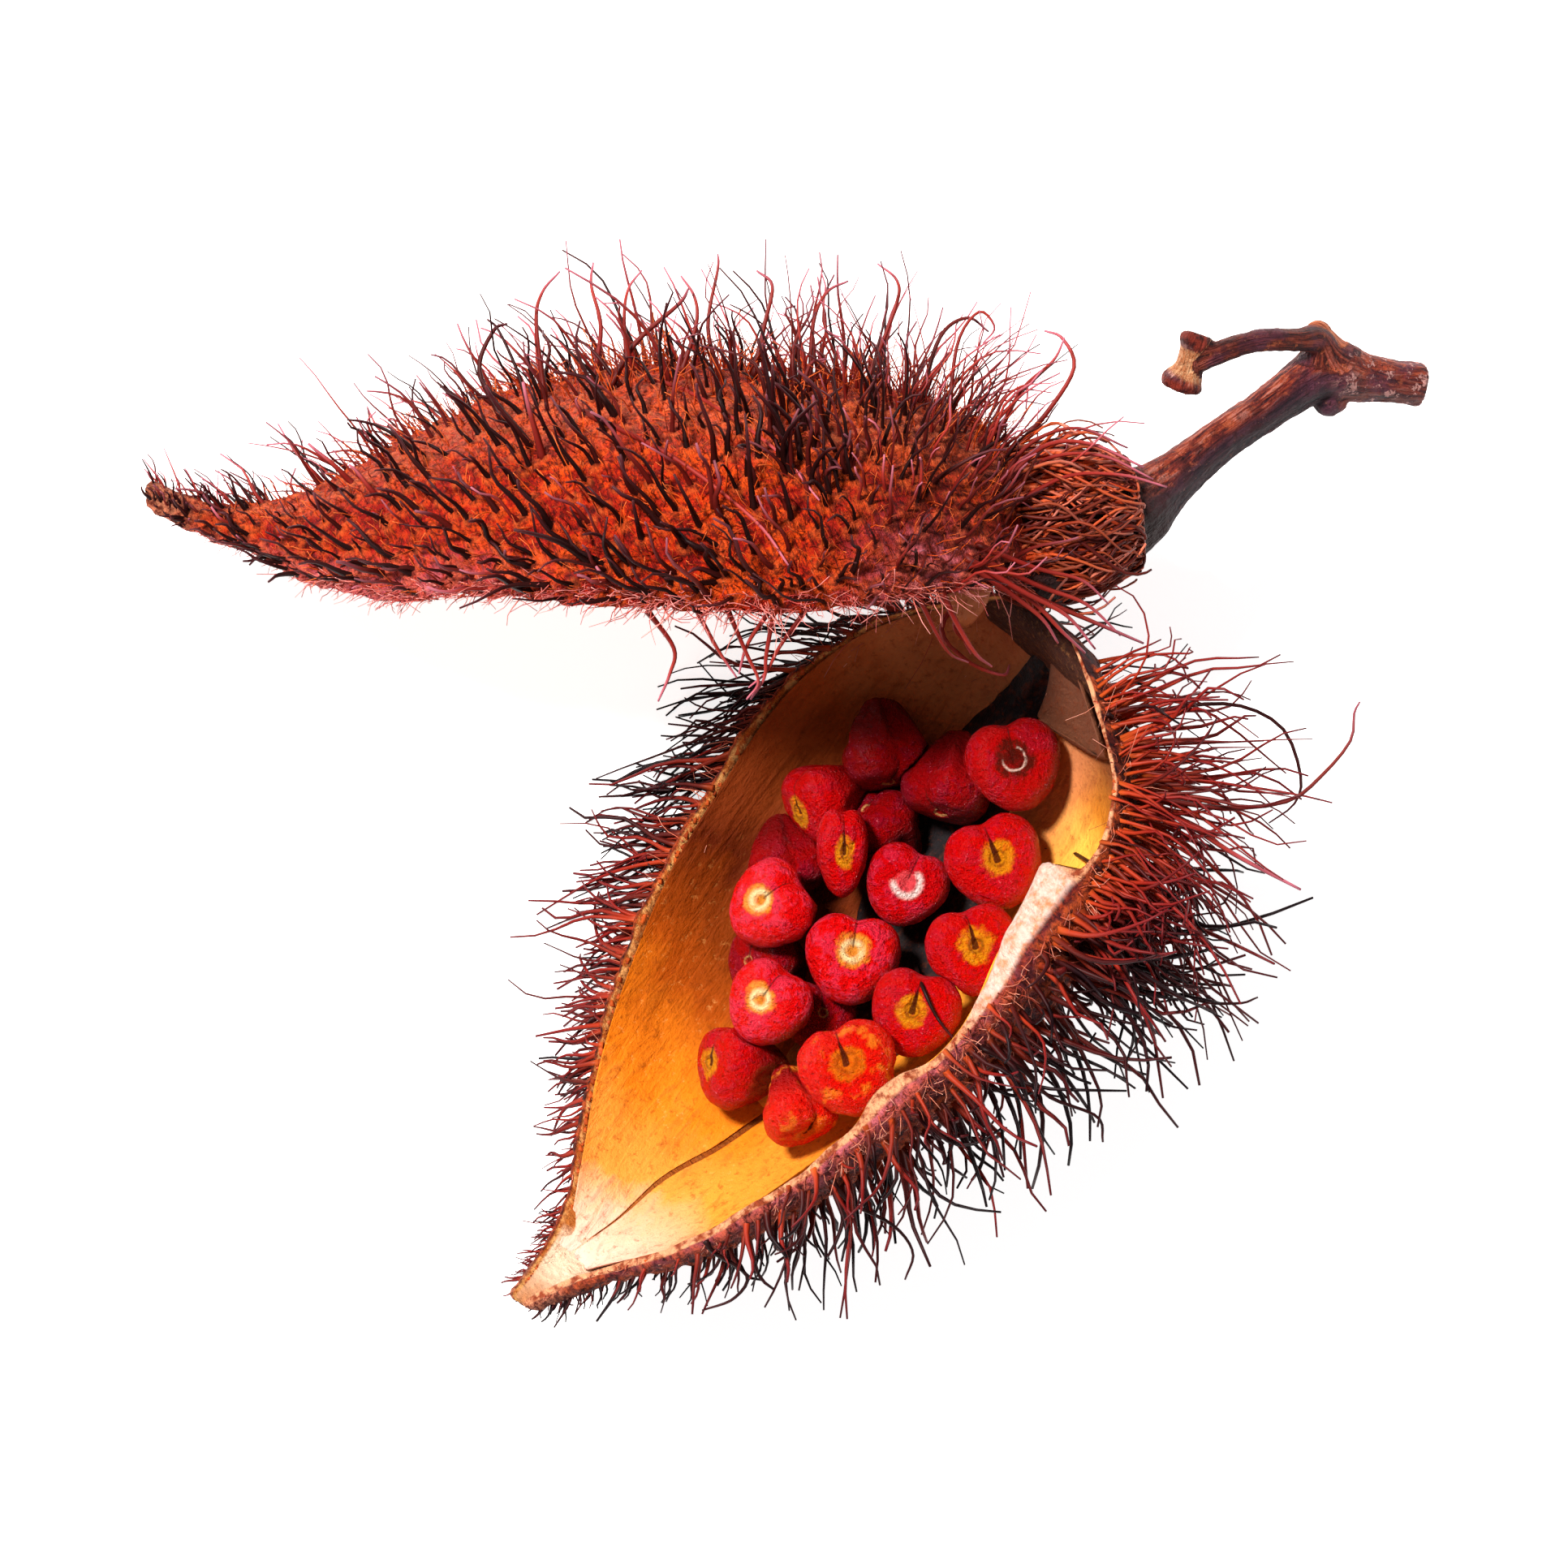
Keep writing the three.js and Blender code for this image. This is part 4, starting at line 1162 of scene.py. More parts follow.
def wrap_fibres(name, count, first, last, stand, longest, drift, seed):
    """Fibres that start between two shares of the core and stand off it by up to that much."""
    dice = np.random.default_rng(seed)
    line = path(FIBRE_CORE, FIBRE_STEPS)
    side, rise = sides_of(line[:, :3])
    share = np.linspace(0, 1, LOOP_STATIONS + 1)[None, :]
    start = first + (last - first) * dice.random((count, 1))
    run = longest * (SHORTEST_RUN + (1 - SHORTEST_RUN) * dice.random((count, 1))) * share
    step = np.clip(((start + run) * FIBRE_STEPS).astype(int), 0, FIBRE_STEPS)
    turn = dice.random((count, 1)) * 2 * math.pi + dice.normal(0, drift, (count, 1)) * share
    turn += FIBRE_WAVER * np.sin(share * FIBRE_WAVES + dice.random((count, 1)) * FIBRE_WAVES)
    height = stand * dice.random((count, 1)) ** 2
    loop = height * np.sin(share * math.pi * (0.5 + 0.5 * dice.random((count, 1))))
    wide = line[step, 3] + BED + PILE * dice.random((count, 1)) + loop
    lines = (line[step, :3] + side[step] * (wide * np.cos(turn))[..., None]
             + rise[step] * (wide * np.sin(turn))[..., None])
    tone = dice.random(count) ** 0.85 * (0.6 + 0.4 * fade(dice.random(count), 0.4, 0.6))
    return bundle(name, lines, FIBRE_RADIUS + FIBRE_RADIUS * dice.random(count), tone, 0.6)


fibres = wrap_fibres("stem_fibres", 560, first=-0.1, last=0.8, stand=0.5, longest=0.75, drift=0.2, seed=21)
loops = wrap_fibres("stem_loops", 130, first=-0.1, last=0.5, stand=2.0, longest=0.9, drift=0.7, seed=22)
print("fibres:", triangles(fibres) + triangles(loops), "triangles")

# %% [markdown]
# ## Single long hairs
# A few hairs are long enough to be noticed one by one: hooks that hang over the mouth, strands that
# fan from the joint, curls past the rim. Each is drawn through a few points from the nearest wall,
# and rays cast straight down find the wall or seed under it, so that it stays above what it crosses.

# %% Long hairs
LONG_STATIONS = 18
LOW_WALL = 14.0            # height at which the wall is sought beside the pod
CLINGING = 0.35            # how far a hair stays above what it crosses
LONG_HAIRS = [
    # warmth, radius, how far the tip lies below the root (none: the hair clings), then points as (x, y)
    (0.9, 0.16, 3, (7.4, 9.6), (8.1, 8.2), (9.3, 6.4), (11.2, 5.6), (11.6, 6.1)),
    (1.0, 0.18, 3, (8.0, 9.8), (8.9, 8.0), (9.8, 6.6), (10.6, 6.0)),
    (0.7, 0.14, 3, (6.8, 9.6), (7.8, 7.6), (8.5, 6.6), (9.4, 6.2)),
    (1.0, 0.16, 3, (8.5, 9.7), (8.8, 8.4), (9.3, 7.3), (9.6, 6.7)),
    (0.9, 0.19, 3, (9.2, 11.6), (12.0, 9.9), (14.4, 8.6), (15.9, 6.9)),
    (1.0, 0.18, 3, (9.4, 11.2), (11.7, 9.6), (13.2, 8.4), (14.0, 7.2)),
    (0.8, 0.18, 3, (10.0, 11.5), (13.0, 10.1), (15.4, 9.2), (17.2, 7.6)),
    (0.9, 0.17, 3, (10.2, 10.9), (12.6, 9.4), (14.2, 7.8), (15.4, 6.7)),
    (0.6, 0.17, 3, (10.8, 10.4), (13.6, 9.2), (16.0, 8.2), (18.4, 7.2)),
    (0.9, 0.16, 3, (9.8, 12.2), (12.9, 11.0), (15.2, 10.4), (16.6, 9.2)),
    (0.8, 0.14, 1, (-5.5, 8.8), (-5.6, 6.9), (-5.8, 5.6), (-6.4, 4.2)),
    (0.9, 0.14, 1, (-2.6, 8.6), (-1.9, 6.6), (-1.3, 5.2), (-1.9, 4.3)),
    (0.8, 0.14, 1, (-2.1, 8.6), (-1.8, 7.2), (-2.3, 5.6)),
    (0.9, 0.16, 1, (-1.2, 8.6), (-0.9, 6.6), (-1.0, 5.4), (-1.7, 4.3)),
    (0.8, 0.14, 1, (0.2, 8.6), (-0.2, 7.0), (-0.9, 5.7), (-1.8, 4.9)),
    (0.9, 0.13, 1, (-4.6, 8.7), (-3.4, 6.9), (-2.4, 5.4)),
    (0.6, 0.14, 1, (-3.2, 20.6), (-3.9, 23.4), (-3.4, 26.4), (-3.4, 27.2)),
    (0.8, 0.14, 1, (-9.8, 20.6), (-9.4, 23.4), (-9.9, 25.6), (-9.8, 26.8)),
    (0.7, 0.14, 1, (-11.9, 20.8), (-12.7, 23.6), (-12.4, 25.2), (-11.5, 26.3)),
    (0.9, 0.13, 1, (-8.0, 20.8), (-8.2, 23.8), (-8.0, 25.4), (-7.3, 26.4)),
    (0.7, 0.14, 1, (-5.3, 21.0), (-4.5, 23.6), (-4.6, 25.0), (-5.3, 26.1)),
    (0.5, 0.17, 1, (-9.0, 20.2), (-7.6, 22.6), (-5.4, 24.6), (-4.9, 25.4)),
    (0.3, 0.17, 1, (-14.4, 18.6), (-15.6, 21.2), (-14.9, 23.2), (-14.2, 23.6)),
    (0.2, 0.16, 1, (-13.0, 18.8), (-13.6, 21.0), (-14.6, 23.2), (-15.2, 23.8)),
    (0.3, 0.16, 1, (-8.4, 20.4), (-9.8, 22.2), (-11.2, 23.2)),
    (0.6, 0.16, 1, (-1.6, 20.8), (-1.0, 23.6), (-0.6, 25.6), (-1.4, 26.4)),
    (0.6, 0.14, 1, (1.4, 21.0), (1.5, 23.6), (2.2, 25.2), (3.3, 25.8)),
    (0.8, 0.13, 1, (3.8, 21.6), (5.7, 24.4), (5.8, 25.8), (4.8, 26.7)),
    (0.4, 0.14, 1, (6.8, 20.2), (8.0, 22.9), (9.4, 23.9), (10.5, 23.2)),
    (0.9, 0.12, 1, (8.6, 20.0), (8.9, 22.6), (10.0, 24.2), (10.8, 23.4), (10.2, 22.6)),
    (0.9, 0.16, 1, (11.6, 16.9), (13.6, 19.2), (14.9, 21.4), (14.3, 22.9), (13.4, 23.3)),
    (0.8, 0.13, 1, (10.8, 17.6), (12.2, 20.2), (13.8, 21.7), (14.4, 22.9)),
    (0.9, 0.12, 1, (10.4, 17.4), (11.2, 19.6), (12.4, 20.4), (12.4, 19.2)),
    (0.9, 0.16, 2, (10.9, 15.0), (13.2, 17.2), (15.6, 17.4), (18.4, 16.2)),
    (0.8, 0.14, 2, (11.2, 14.8), (13.4, 16.6), (16.2, 16.8), (18.9, 15.6)),
    (0.6, 0.14, 2, (11.0, 15.4), (12.6, 17.4), (15.0, 18.2), (17.6, 17.2)),
    (1.0, 0.14, 2, (11.6, 14.2), (14.4, 15.7), (17.2, 15.8), (19.6, 15.2)),
    (0.2, 0.14, 2, (17.5, 3.4), (20.6, 4.0), (23.4, 4.0), (25.6, 2.8), (26.5, 0.4), (26.2, -1.0),
     (24.9, -2.0)),
    (0.5, 0.14, 1, (17.6, -0.4), (22.0, -1.2), (25.6, -0.9), (27.4, 0.4), (28.9, 2.2), (29.1, 3.6),
     (29.4, 4.2)),
    (0.0, 0.13, None, (6.7, -9.2), (7.2, -10.6), (8.0, -12.2), (9.6, -14.0)),
    (0.0, 0.12, None, (16.5, 3.6), (17.7, 2.6), (18.1, 1.1)),
    (0.1, 0.13, None, (13.6, -3.4), (14.8, -3.5), (15.9, -4.2), (16.6, -4.8)),
    (1.0, 0.2, 2, (17.4, -0.2), (20.4, -1.9), (23.0, -3.6), (26.4, -5.4)),
    (0.1, 0.16, 2, (14.4, -8.6), (18.9, -9.6), (21.0, -11.0), (23.2, -11.2), (24.2, -10.9)),
    (0.1, 0.16, 2, (10.0, -13.4), (12.2, -14.6), (13.6, -16.0), (16.0, -17.0), (16.3, -18.3)),
    (0.0, 0.14, 2, (2.4, -20.2), (3.4, -21.4), (5.6, -22.6), (6.6, -24.0), (6.2, -25.4)),
    (0.0, 0.14, 1, (-4.0, -23.4), (-3.6, -24.0), (-1.9, -25.2), (-2.6, -26.4), (-4.2, -27.0)),
    (1.0, 0.16, None, (-7.5, 21.0), (-4.4, 19.8), (-0.4, 17.0), (1.8, 14.4)),
    (1.0, 0.17, None, (-10.2, 19.0), (-5.6, 16.6), (-1.5, 13.4), (0.3, 11.0)),
]


def ground_under(x, y):
    """The height of the first wall, stem or seed met from above, or the table's."""
    start = Vector((x * MM, y * MM, 0.1))
    hits = [tree.ray_cast(start, Vector((0, 0, -1)))[0] for tree in ground]
    return max((hit.z / MM for hit in hits if hit), default=0)


ground = [BVHTree.FromPolygons([v.co.copy() for v in piece.data.vertices],
                               [list(face.vertices) for face in piece.data.polygons])
          for piece in [lower_shell, upper_shell, stem] + seed_pieces]


def lay(drop, *stops):
    """A long hair's centre line. Its root is the nearest point of a wall. It clings to what lies below
    or sinks by drop toward its tip, faster and faster."""
    start = Vector((*stops[0], ground_under(*stops[0]) or LOW_WALL)) * MM
    root = min((tree.find_nearest(start) for tree in ground), key=lambda hit: hit[3])[0] / MM
    flat = path([(root.x, root.y, 0, 0)] + [(x, y, 0, 0) for x, y in stops[1:]], LONG_STATIONS)[:, :2]
    below = np.array([ground_under(x, y) for x, y in flat]) + CLINGING
    if drop is None:
        heights = below
    else:
        heights = root.z - drop * np.linspace(0, 1, LONG_STATIONS + 1) ** 1.5
        heights = np.where(np.arange(LONG_STATIONS + 1) > 1, np.maximum(heights, below), heights)
    for _ in range(3):
        heights[1:-1] = (heights[:-2] + 2 * heights[1:-1] + heights[2:]) / 4
    return np.column_stack([flat, heights])


long_lines = np.array([lay(*hair[2:]) for hair in LONG_HAIRS])
for axis, (least, most) in enumerate(EDGES):
    long_lines[..., axis] = np.clip(long_lines[..., axis], least, most)
warmth = np.array([hair[0] for hair in LONG_HAIRS], float)
radii = np.array([hair[1] for hair in LONG_HAIRS], float)
long_hairs = bundle("valve_long_hairs", long_lines, radii, warmth, 0.35, 0.8)
print("long hairs:", len(LONG_HAIRS))

# %% [markdown]
# ## Finishes
# Every finish starts from the numbers noted on its piece: how far along the valve a point lies, how
# far round, how close to a bristle. Noise then breaks the borders up.

# %% Valve finish
ROSE, RUST, WART_ORANGE_AND_HIGHLIGHT, RIDGE_HIGHLIGHT = 0xE0707A, 0xD8502C, 0xE86428, 0xE4805C     # pink bloom and rust on the skin; orange on the warts, partly painted highlight; a painted highlight along the back
END_SKIN = [(0, 0xCC7C5C), (1, 0x5E241A)]                             # at the very beak
LEFT_RIM = [(0, 0xE8A460), (1, 0xB45A1E)]                             # bare wood
RIGHT_RIM = [(0, 0xFCB080), (1, 0x983E20)]
PALE_FACE = [(0, 0xFCD6C6), (1, 0xEE9464)]
WOOD_GRIT = 0xD08A50


def valve_finish(name, low, mid, high, dark, bare, bloom, combed, beak):
    """Skin in three colours with warts and pink bloom, the warts' slopes painted orange, partly as
    highlight, and a painted highlight along the middle of the back; and the bare wood of the inside. Bloom
    is where the pink bloom lies: a list of (centre along, reach along, centre round, reach round). Combed
    is the way in which the finest hair lies, in radians from +X, and beak the colour toward the beak."""
    finish = Finish(name)
    along = finish.attribute("along")
    around = finish.attribute("round")
    wart = finish.attribute("wart")
    inner = finish.attribute("inner").rise(0.0, 0.3)
    patches = finish.noise(2.2, 4)
    grit = finish.noise(0.3, 5, 0.7)
    fine = finish.noise(0.7, 5, 0.65)
    fur = finish.noise(1, 4, 0.65, 0.6, finish.place((1.6, 0.22, 0.4), combed))
    skin = finish.ramp((patches + (fine - 0.5) * 0.9).rise(0.32, 0.68), [(0, low), (0.5, mid), (1, high)])
    skin = finish.blend((along + (patches - 0.5) * 0.3).rise(0.55, 0.75) * 0.6, skin, paint(beak))
    skin = finish.blend(fur.rise(0.52, 0.64) * 0.8, skin, paint(dark))
    skin = finish.blend(fur.rise(0.45, 0.36) * 0.5, skin, paint(high))
    skin = finish.blend(grit.rise(0.47, 0.62) * 0.8, skin, paint(dark))
    powder_and_sheen = fine.rise(0.6, 0.4) * 0.5 + grit.rise(0.6, 0.4) * 0.5
    for centre, reach, middle, width in bloom:
        share = along.bell(centre, reach) * around.bell(middle, width)
        skin = finish.blend(share * powder_and_sheen, skin, paint(ROSE))
    skin = finish.blend(finish.noise(3.1, 4, 0.6).rise(0.62, 0.74) * powder_and_sheen * 0.3, skin, paint(RUST))
    # The slopes of the warts are painted orange: partly their own colour, partly painted highlight.
    skin = finish.blend(wart.rise(0.2, 0.7) * powder_and_sheen * 0.6, skin, paint(WART_ORANGE_AND_HIGHLIGHT))
    # A painted highlight along the middle of the back, which on the upper valve is the side that faces the
    # lamp.
    skin = finish.blend(around.bell(-0.12, 0.35) * powder_and_sheen * 0.45, skin, paint(RIDGE_HIGHLIGHT))
    skin = finish.blend(wart.rise(0.75, 0.98) * 0.8, skin, paint(dark))
    skin = finish.blend(along.rise(0.3, 0.06) * fine.rise(0.35, 0.6) * 0.8, skin, paint(dark))
    end = along.rise(0.93, 0.98)
    skin = finish.blend(end * 0.8, skin, finish.ramp(grit.rise(0.4, 0.6), END_SKIN))
    wood = finish.ramp(along + (patches - 0.5) * 0.1, bare)
    wood = finish.blend(grit.rise(0.5, 0.75) * 0.3, wood, paint(WOOD_GRIT))
    left = around.rise(-0.95, -0.985)
    wood = finish.blend(left, wood, finish.ramp(fine.rise(0.42, 0.58), LEFT_RIM))
    right = around.rise(0.94, 0.99)
    wood = finish.blend(right, wood, finish.ramp(fine.rise(0.4, 0.62), RIGHT_RIM))
    face = around.rise(0.9, 0.97) * along.rise(0.195, 0.21) * along.rise(0.42, 0.36)
    pale = finish.ramp((fine * 0.85 + grit * 0.15).rise(0.4, 0.68), PALE_FACE)
    wood = finish.blend(face, wood, pale)
    colour = finish.blend(inner, skin, wood)
    height = patches * 0.25 + fine * 0.5 + grit * 0.5 + fur * 0.7
    return finish.surface(Base_Color=colour, Roughness=0.6 + grit * 0.3,
                          Normal=finish.relief(height, 0.6), Specular_IOR_Level=0.15)


BARE_LOWER = [(0, 0x3A1A10), (0.4, 0x6A3010), (0.75, 0x98480E), (0.88, 0xC07030), (0.93, 0xFAD8B8),
              (1, 0xC88050)]
BARE_UPPER = [(0, 0x6A3A1C), (0.4, 0xB07A40), (0.8, 0xE0B888), (1, 0xB87850)]
lower_skin = valve_finish("lower_valve_skin", 0x42101C, 0x6A1814, 0x9A3414, 0x1E060A, BARE_LOWER,
                          [(0.6, 0.4, 0.97, 0.16)], -0.9, 0x5A1014)
upper_skin_finish = valve_finish("upper_valve_skin", 0x8C0A04, 0xC22404, 0xE84A06, 0x340402, BARE_UPPER,
                                 [(0.75, 0.32, -0.98, 0.3), (0.1, 0.12, -0.9, 0.4)], 2.0, 0xA00A0C)
print("valve finishes:", lower_skin.name, upper_skin_finish.name)

# %% [markdown]
# Every hair notes two numbers: how near its tip a point lies, and the hair's own tone, drawn once.
# So one finish gives a bundle both its black hairs and its red ones.

# %% Bristle finish
def hair_finish(name, cold, warm, spots=(0, 0.25, 0.6, 1)):
    """Colours along a hair from root to tip: cold for the black ones, warm for the red ones."""
    finish = Finish(name)
    along = finish.attribute("tip")
    tone = finish.attribute("tone")
    colour = finish.blend(tone.rise(0.1, 0.9), finish.ramp(along, list(zip(spots, cold))),
                          finish.ramp(along, list(zip(spots, warm))))
    return finish.surface(Base_Color=colour, Roughness=0.5, Specular_IOR_Level=0.15)


lower_horn = hair_finish("lower_bristle_horn", (0x8A3414, 0x420E0C, 0x180408, 0x120408),
                         (0xC0541E, 0xA03014, 0x7E160E, 0x641218), (0, 0.14, 0.5, 1))
upper_horn = hair_finish("upper_bristle_horn", (0x240606, 0x1A0504, 0x220506, 0x3E1014),
                         (0x5A120A, 0x781812, 0x9C3028, 0xC0687A))
fluff = hair_finish("fluff", (0x4A0A04, 0x5A0E04, 0x6A1408, 0x7A1C0C),
                    (0xB83408, 0xC8400C, 0xD85418, 0xE06C34))
rosy_fluff = hair_finish("rosy_fluff", (0x8A1C14, 0x9A2420, 0xA83430, 0xA84040),
                         (0xD86048, 0xE07060, 0xE88880, 0xF0A098))
tan_fluff = hair_finish("tan_fluff", (0x641A10, 0x742014, 0x842C1C, 0x74281C),
                        (0xB84830, 0xC86044, 0xD87C60, 0xE09C88))
fibre_hair = hair_finish("fibre_bark", (0x30080A, 0x420C0A, 0x50140E, 0x4A1410),
                         (0xB83810, 0xCC4818, 0xD8643A, 0xD07A6A))
print("hair finishes:", [made.name for made in (lower_horn, upper_horn, fluff, rosy_fluff, tan_fluff,
                                                fibre_hair)])

# %% [markdown]
# The lining goes from grey brown near the stem to gold and to pale pink at the beak, with finer and
# finer noise over it. Light and shade are painted into it as well: the left wall, turned away from the
# lamp, is painted browner as shade; the right one, which faces the lamp, is painted bright gold as light,
# below a dark band near the stem that is the upper valve's painted shadow; and a pool of light is painted
# in the middle near the stem.

# %% Lining finishes
# The last of these colours is a painted pool of light near the stem.
BROWN_STREAKS, BROWN_GRIT, PALE_GRIT, PAINTED_LIGHT_NEAR_STEM = 0x702C08, 0x702C06, 0xF4B060, 0xE09060


def lining_finish(name, left, right=None, shine=0.2, stem_light_share=0.0):
    """Left and right are colours along the valve, for its left wall and its right one, with light and shade
    painted into them. Near the stem the middle is painted paler by the last argument, as a pool of light."""
    finish = Finish(name)
    along = finish.attribute("along")
    around = finish.attribute("round")
    patches = finish.noise(5.0, 4)
    grit = finish.noise(0.5, 5, 0.75)
    streaks = finish.noise(1, 4, 0.6, 0.5, finish.place((2.4, 0.5, 1.0), -2.2))
    value = along + (patches - 0.5) * 0.18 + (streaks - 0.5) * 0.06
    colour = finish.ramp(value, left)
    if right:
        side = (around + (patches - 0.5) * 0.3).rise(-0.15, 0.25)
        colour = finish.blend(side, colour, finish.ramp(along + (patches - 0.5) * 0.03, right))
    colour = finish.blend(streaks.rise(0.5, 0.72) * 0.35, colour, paint(BROWN_STREAKS))
    colour = finish.blend(grit.rise(0.52, 0.7) * 0.55, colour, paint(BROWN_GRIT))
    colour = finish.blend(grit.rise(0.42, 0.3) * along.rise(0.35, 0.7) * 0.35, colour, paint(PALE_GRIT))
    # A painted pool of light in the middle of the lining near the stem.
    lit_near_stem = around.bell(-0.2, 0.45) * along.rise(0.3, 0.14)
    colour = finish.blend(lit_near_stem * stem_light_share, colour, paint(PAINTED_LIGHT_NEAR_STEM))
    return finish.surface(Base_Color=colour, Roughness=0.5 + grit * 0.3, Specular_IOR_Level=shine,
                          Normal=finish.relief(grit * 0.5 + streaks * 0.6, 0.3))


# Along the left wall: the lining's own colours, with painted shade darkening the middle stretch, away from
# the lamp, and painted light brightening the stretch near the stem.
LEFT_WALL_LIT_AND_SHADED = [(0, 0x8E4A2C), (0.15, 0xB4683A), (0.27, 0x9C4618), (0.46, 0x521701), (0.6, 0xA04404),
             (0.7, 0xDC7610), (0.8, 0xE89038), (0.88, 0xF6B89C), (1, 0xFCC8C0)]
# Along the right wall: dark near the stem up to a sharp edge, the upper valve's painted shadow, then bright
# gold where the wall faces the lamp, painted light, and the lining's own colours toward the beak.
RIGHT_WALL_LIT_AND_SHADOWED = [(0, 0x8A4C2C), (0.1, 0x7A4424), (0.15, 0xC07420), (0.18, 0xFFB848), (0.3, 0xFFAC38),
              (0.6, 0xE07C1C), (0.78, 0xE89030), (0.87, 0xF8B89C), (1, 0xFCC8C0)]
gold_lining_with_painted_light = lining_finish("lining_gold", LEFT_WALL_LIT_AND_SHADED, RIGHT_WALL_LIT_AND_SHADOWED, 0.07, 0.7)
# Painted shade: the flap's dark brown stands for the upper valve's shadow near the stem.
shaded_flap_lining = lining_finish("lining_dark_skin", [(0, 0x663A26), (1, 0x6C402E)])
pale_lining = lining_finish("lining_pale_skin", [(0, 0xB4643A), (0.4, 0xBC7448), (1, 0xE0A878)])
strip_finish = lining_finish("placenta_skin", [(0, 0x0C080E), (0.5, 0x160C0E), (0.58, 0x5A2A0C),
                                               (0.66, 0xD08A30)])
print("lining finishes:", [made.name for made in (gold_lining_with_painted_light, shaded_flap_lining, pale_lining, strip_finish)])

# %% [markdown]
# A seed's finish is built in its own axes: the disc, the ring on it, the groove and the dark drop
# where its stalk was are drawn by their distance from the middle of its face. One function gives all
# the kinds of seed, from shining red ones to those with a white ring.

# %% Seed finish
# The pale pink grains are painted sheen and the dark red below is painted shade.
WRINKLE, PIT, SHEEN_GRAINS, SHADE_BELOW = 0x6A0206, 0x6A0204, 0xF06C80, 0x560206
BLOTCH, GROOVE, SCAR = 0xF08A20, 0x4A0C08, 0x421006


def seed_finish(name, flesh, bloom, disc, size, ring, ring_radius=0.4, ring_width=0.14, open_way=None,
                stalk_scar=0.9, blotch=0.0):
    """Red flesh with a pink bloom, painted strongest on the upper part as sheen, and the lower part painted
    darker as shade; on its face a disc of that size with a ring on it. A ring with an open_way, in radians,
    is a crescent. The scar is the dark drop in the groove."""
    finish = Finish(name)
    x, y, height = finish.parts("face")
    from_middle = (x * x + y * y).maths("SQRT")
    lumps = finish.noise(1.1, 4)
    grit = finish.noise(0.19, 3, 0.75)
    speckle = finish.noise(0.36, 4, 0.7)
    outward = from_middle + 0.2
    fluted = finish.joined(x / outward * MM, y / outward * MM, height * (0.2 * MM))
    wrinkles = finish.noise(0.2, 3, 0.6, 0.4, fluted)
    wobble = (lumps - 0.5) * 1.1
    # The pink bloom has its own speckled pattern, but is painted strongest on the upper part of the seed,
    # as sheen where the light falls.
    powder_and_sheen = (speckle + (lumps - 0.5) * 1.2).rise(0.45, 0.62) * height.rise(-1.6, 0.6)
    colour = finish.blend(powder_and_sheen * 0.7, paint(flesh), paint(bloom))
    colour = finish.blend(wrinkles.rise(0.5, 0.66) * 0.45, colour, paint(WRINKLE))
    colour = finish.blend(grit.rise(0.44, 0.32) * 0.6, colour, paint(PIT))
    # Pale pink grains of painted sheen on the upper part.
    colour = finish.blend(grit.rise(0.6, 0.7) * powder_and_sheen * 0.6, colour, paint(SHEEN_GRAINS))
    # The lower part of each seed, down in the heap, is painted darker: painted shade.
    colour = finish.blend(height.rise(0.6, -2.0) * 0.7, colour, paint(SHADE_BELOW))
    if blotch:
        colour = finish.blend(finish.noise(1.3, 3).rise(0.55, 0.68) * blotch, colour, paint(BLOTCH))
    face = height.rise(0.9, 1.4)
    edge = from_middle + wobble + (speckle - 0.5) * 0.4 + (wrinkles - 0.5) * 0.5
    spot = edge.rise(size + 0.12, size - 0.25) * face
    speckled = finish.blend(speckle.rise(0.45, 0.65) * 0.5, paint(disc), paint(flesh))
    colour = finish.blend(spot * 0.92, colour, speckled)
    rim = (from_middle + wobble * 0.25 + (speckle - 0.5) * 0.2).bell(ring_radius, ring_width) * face
    if open_way is not None:
        toward = x * math.cos(open_way) + y * math.sin(open_way)
        rim = rim * (toward + (speckle - 0.5) * 1.2).rise(0.5, 0.1)
    colour = finish.blend(rim * speckle.rise(0.3, 0.5) * 0.85, colour, paint(ring))
    groove = (x + wobble * 0.12).bell(0, 0.09) * y.rise(0.1, 0.3) * y.rise(2.3, 1.6) * face
    colour = finish.blend(groove * 0.8, colour, paint(GROOVE))
    drop = ((x + wobble * 0.12) / (y * -0.13 + 0.24)).bell(0, 1.1)
    drop = drop * y.rise(-0.28, -0.1) * y.rise(1.3, 0.8) * face
    colour = finish.blend(drop.rise(0.1, 0.5) * stalk_scar, colour, paint(SCAR))
    relief = grit * 0.8 + speckle * 1.3 + lumps * 0.8 + wrinkles * 0.9
    return finish.surface(Base_Color=colour, Roughness=0.16 + powder_and_sheen * 0.1, Specular_IOR_Level=0.17,
                          Normal=finish.relief(relief, 0.42))


RIPE = seed_finish("seed_ripe", 0xC80203, 0xB80A20, 0xD88A10, 0.95, 0x8A4A08)
PALE_FACED = seed_finish("seed_pale_faced", 0xDC0406, 0xDC2844, 0xE89430, 0.95, 0xFCE4A8, 0.48, 0.3,
                         stalk_scar=0.1)
BROWN_FACED = seed_finish("seed_brown_faced", 0xB00305, 0xA00A20, 0x4A1008, 1.05, 0xECC8B8, 0.6, 0.1, 2.2,
                          0.6)
WHITE_RINGED = seed_finish("seed_white_ringed", 0xC40308, 0xC81C38, 0xE04850, 0.62, 0xFFECE4, 0.8, 0.34,
                           2.3, 0.1)
ORANGE = seed_finish("seed_orange", 0xDC0C03, 0xDC2008, 0xD86A0C, 0.8, 0xB04A08, 0.5, 0.2, blotch=0.6)
DARK = seed_finish("seed_dark", 0x980306, 0x880620, 0xA01010, 0.4, 0xD8A060, 0.3, 0.1, stalk_scar=0.3)
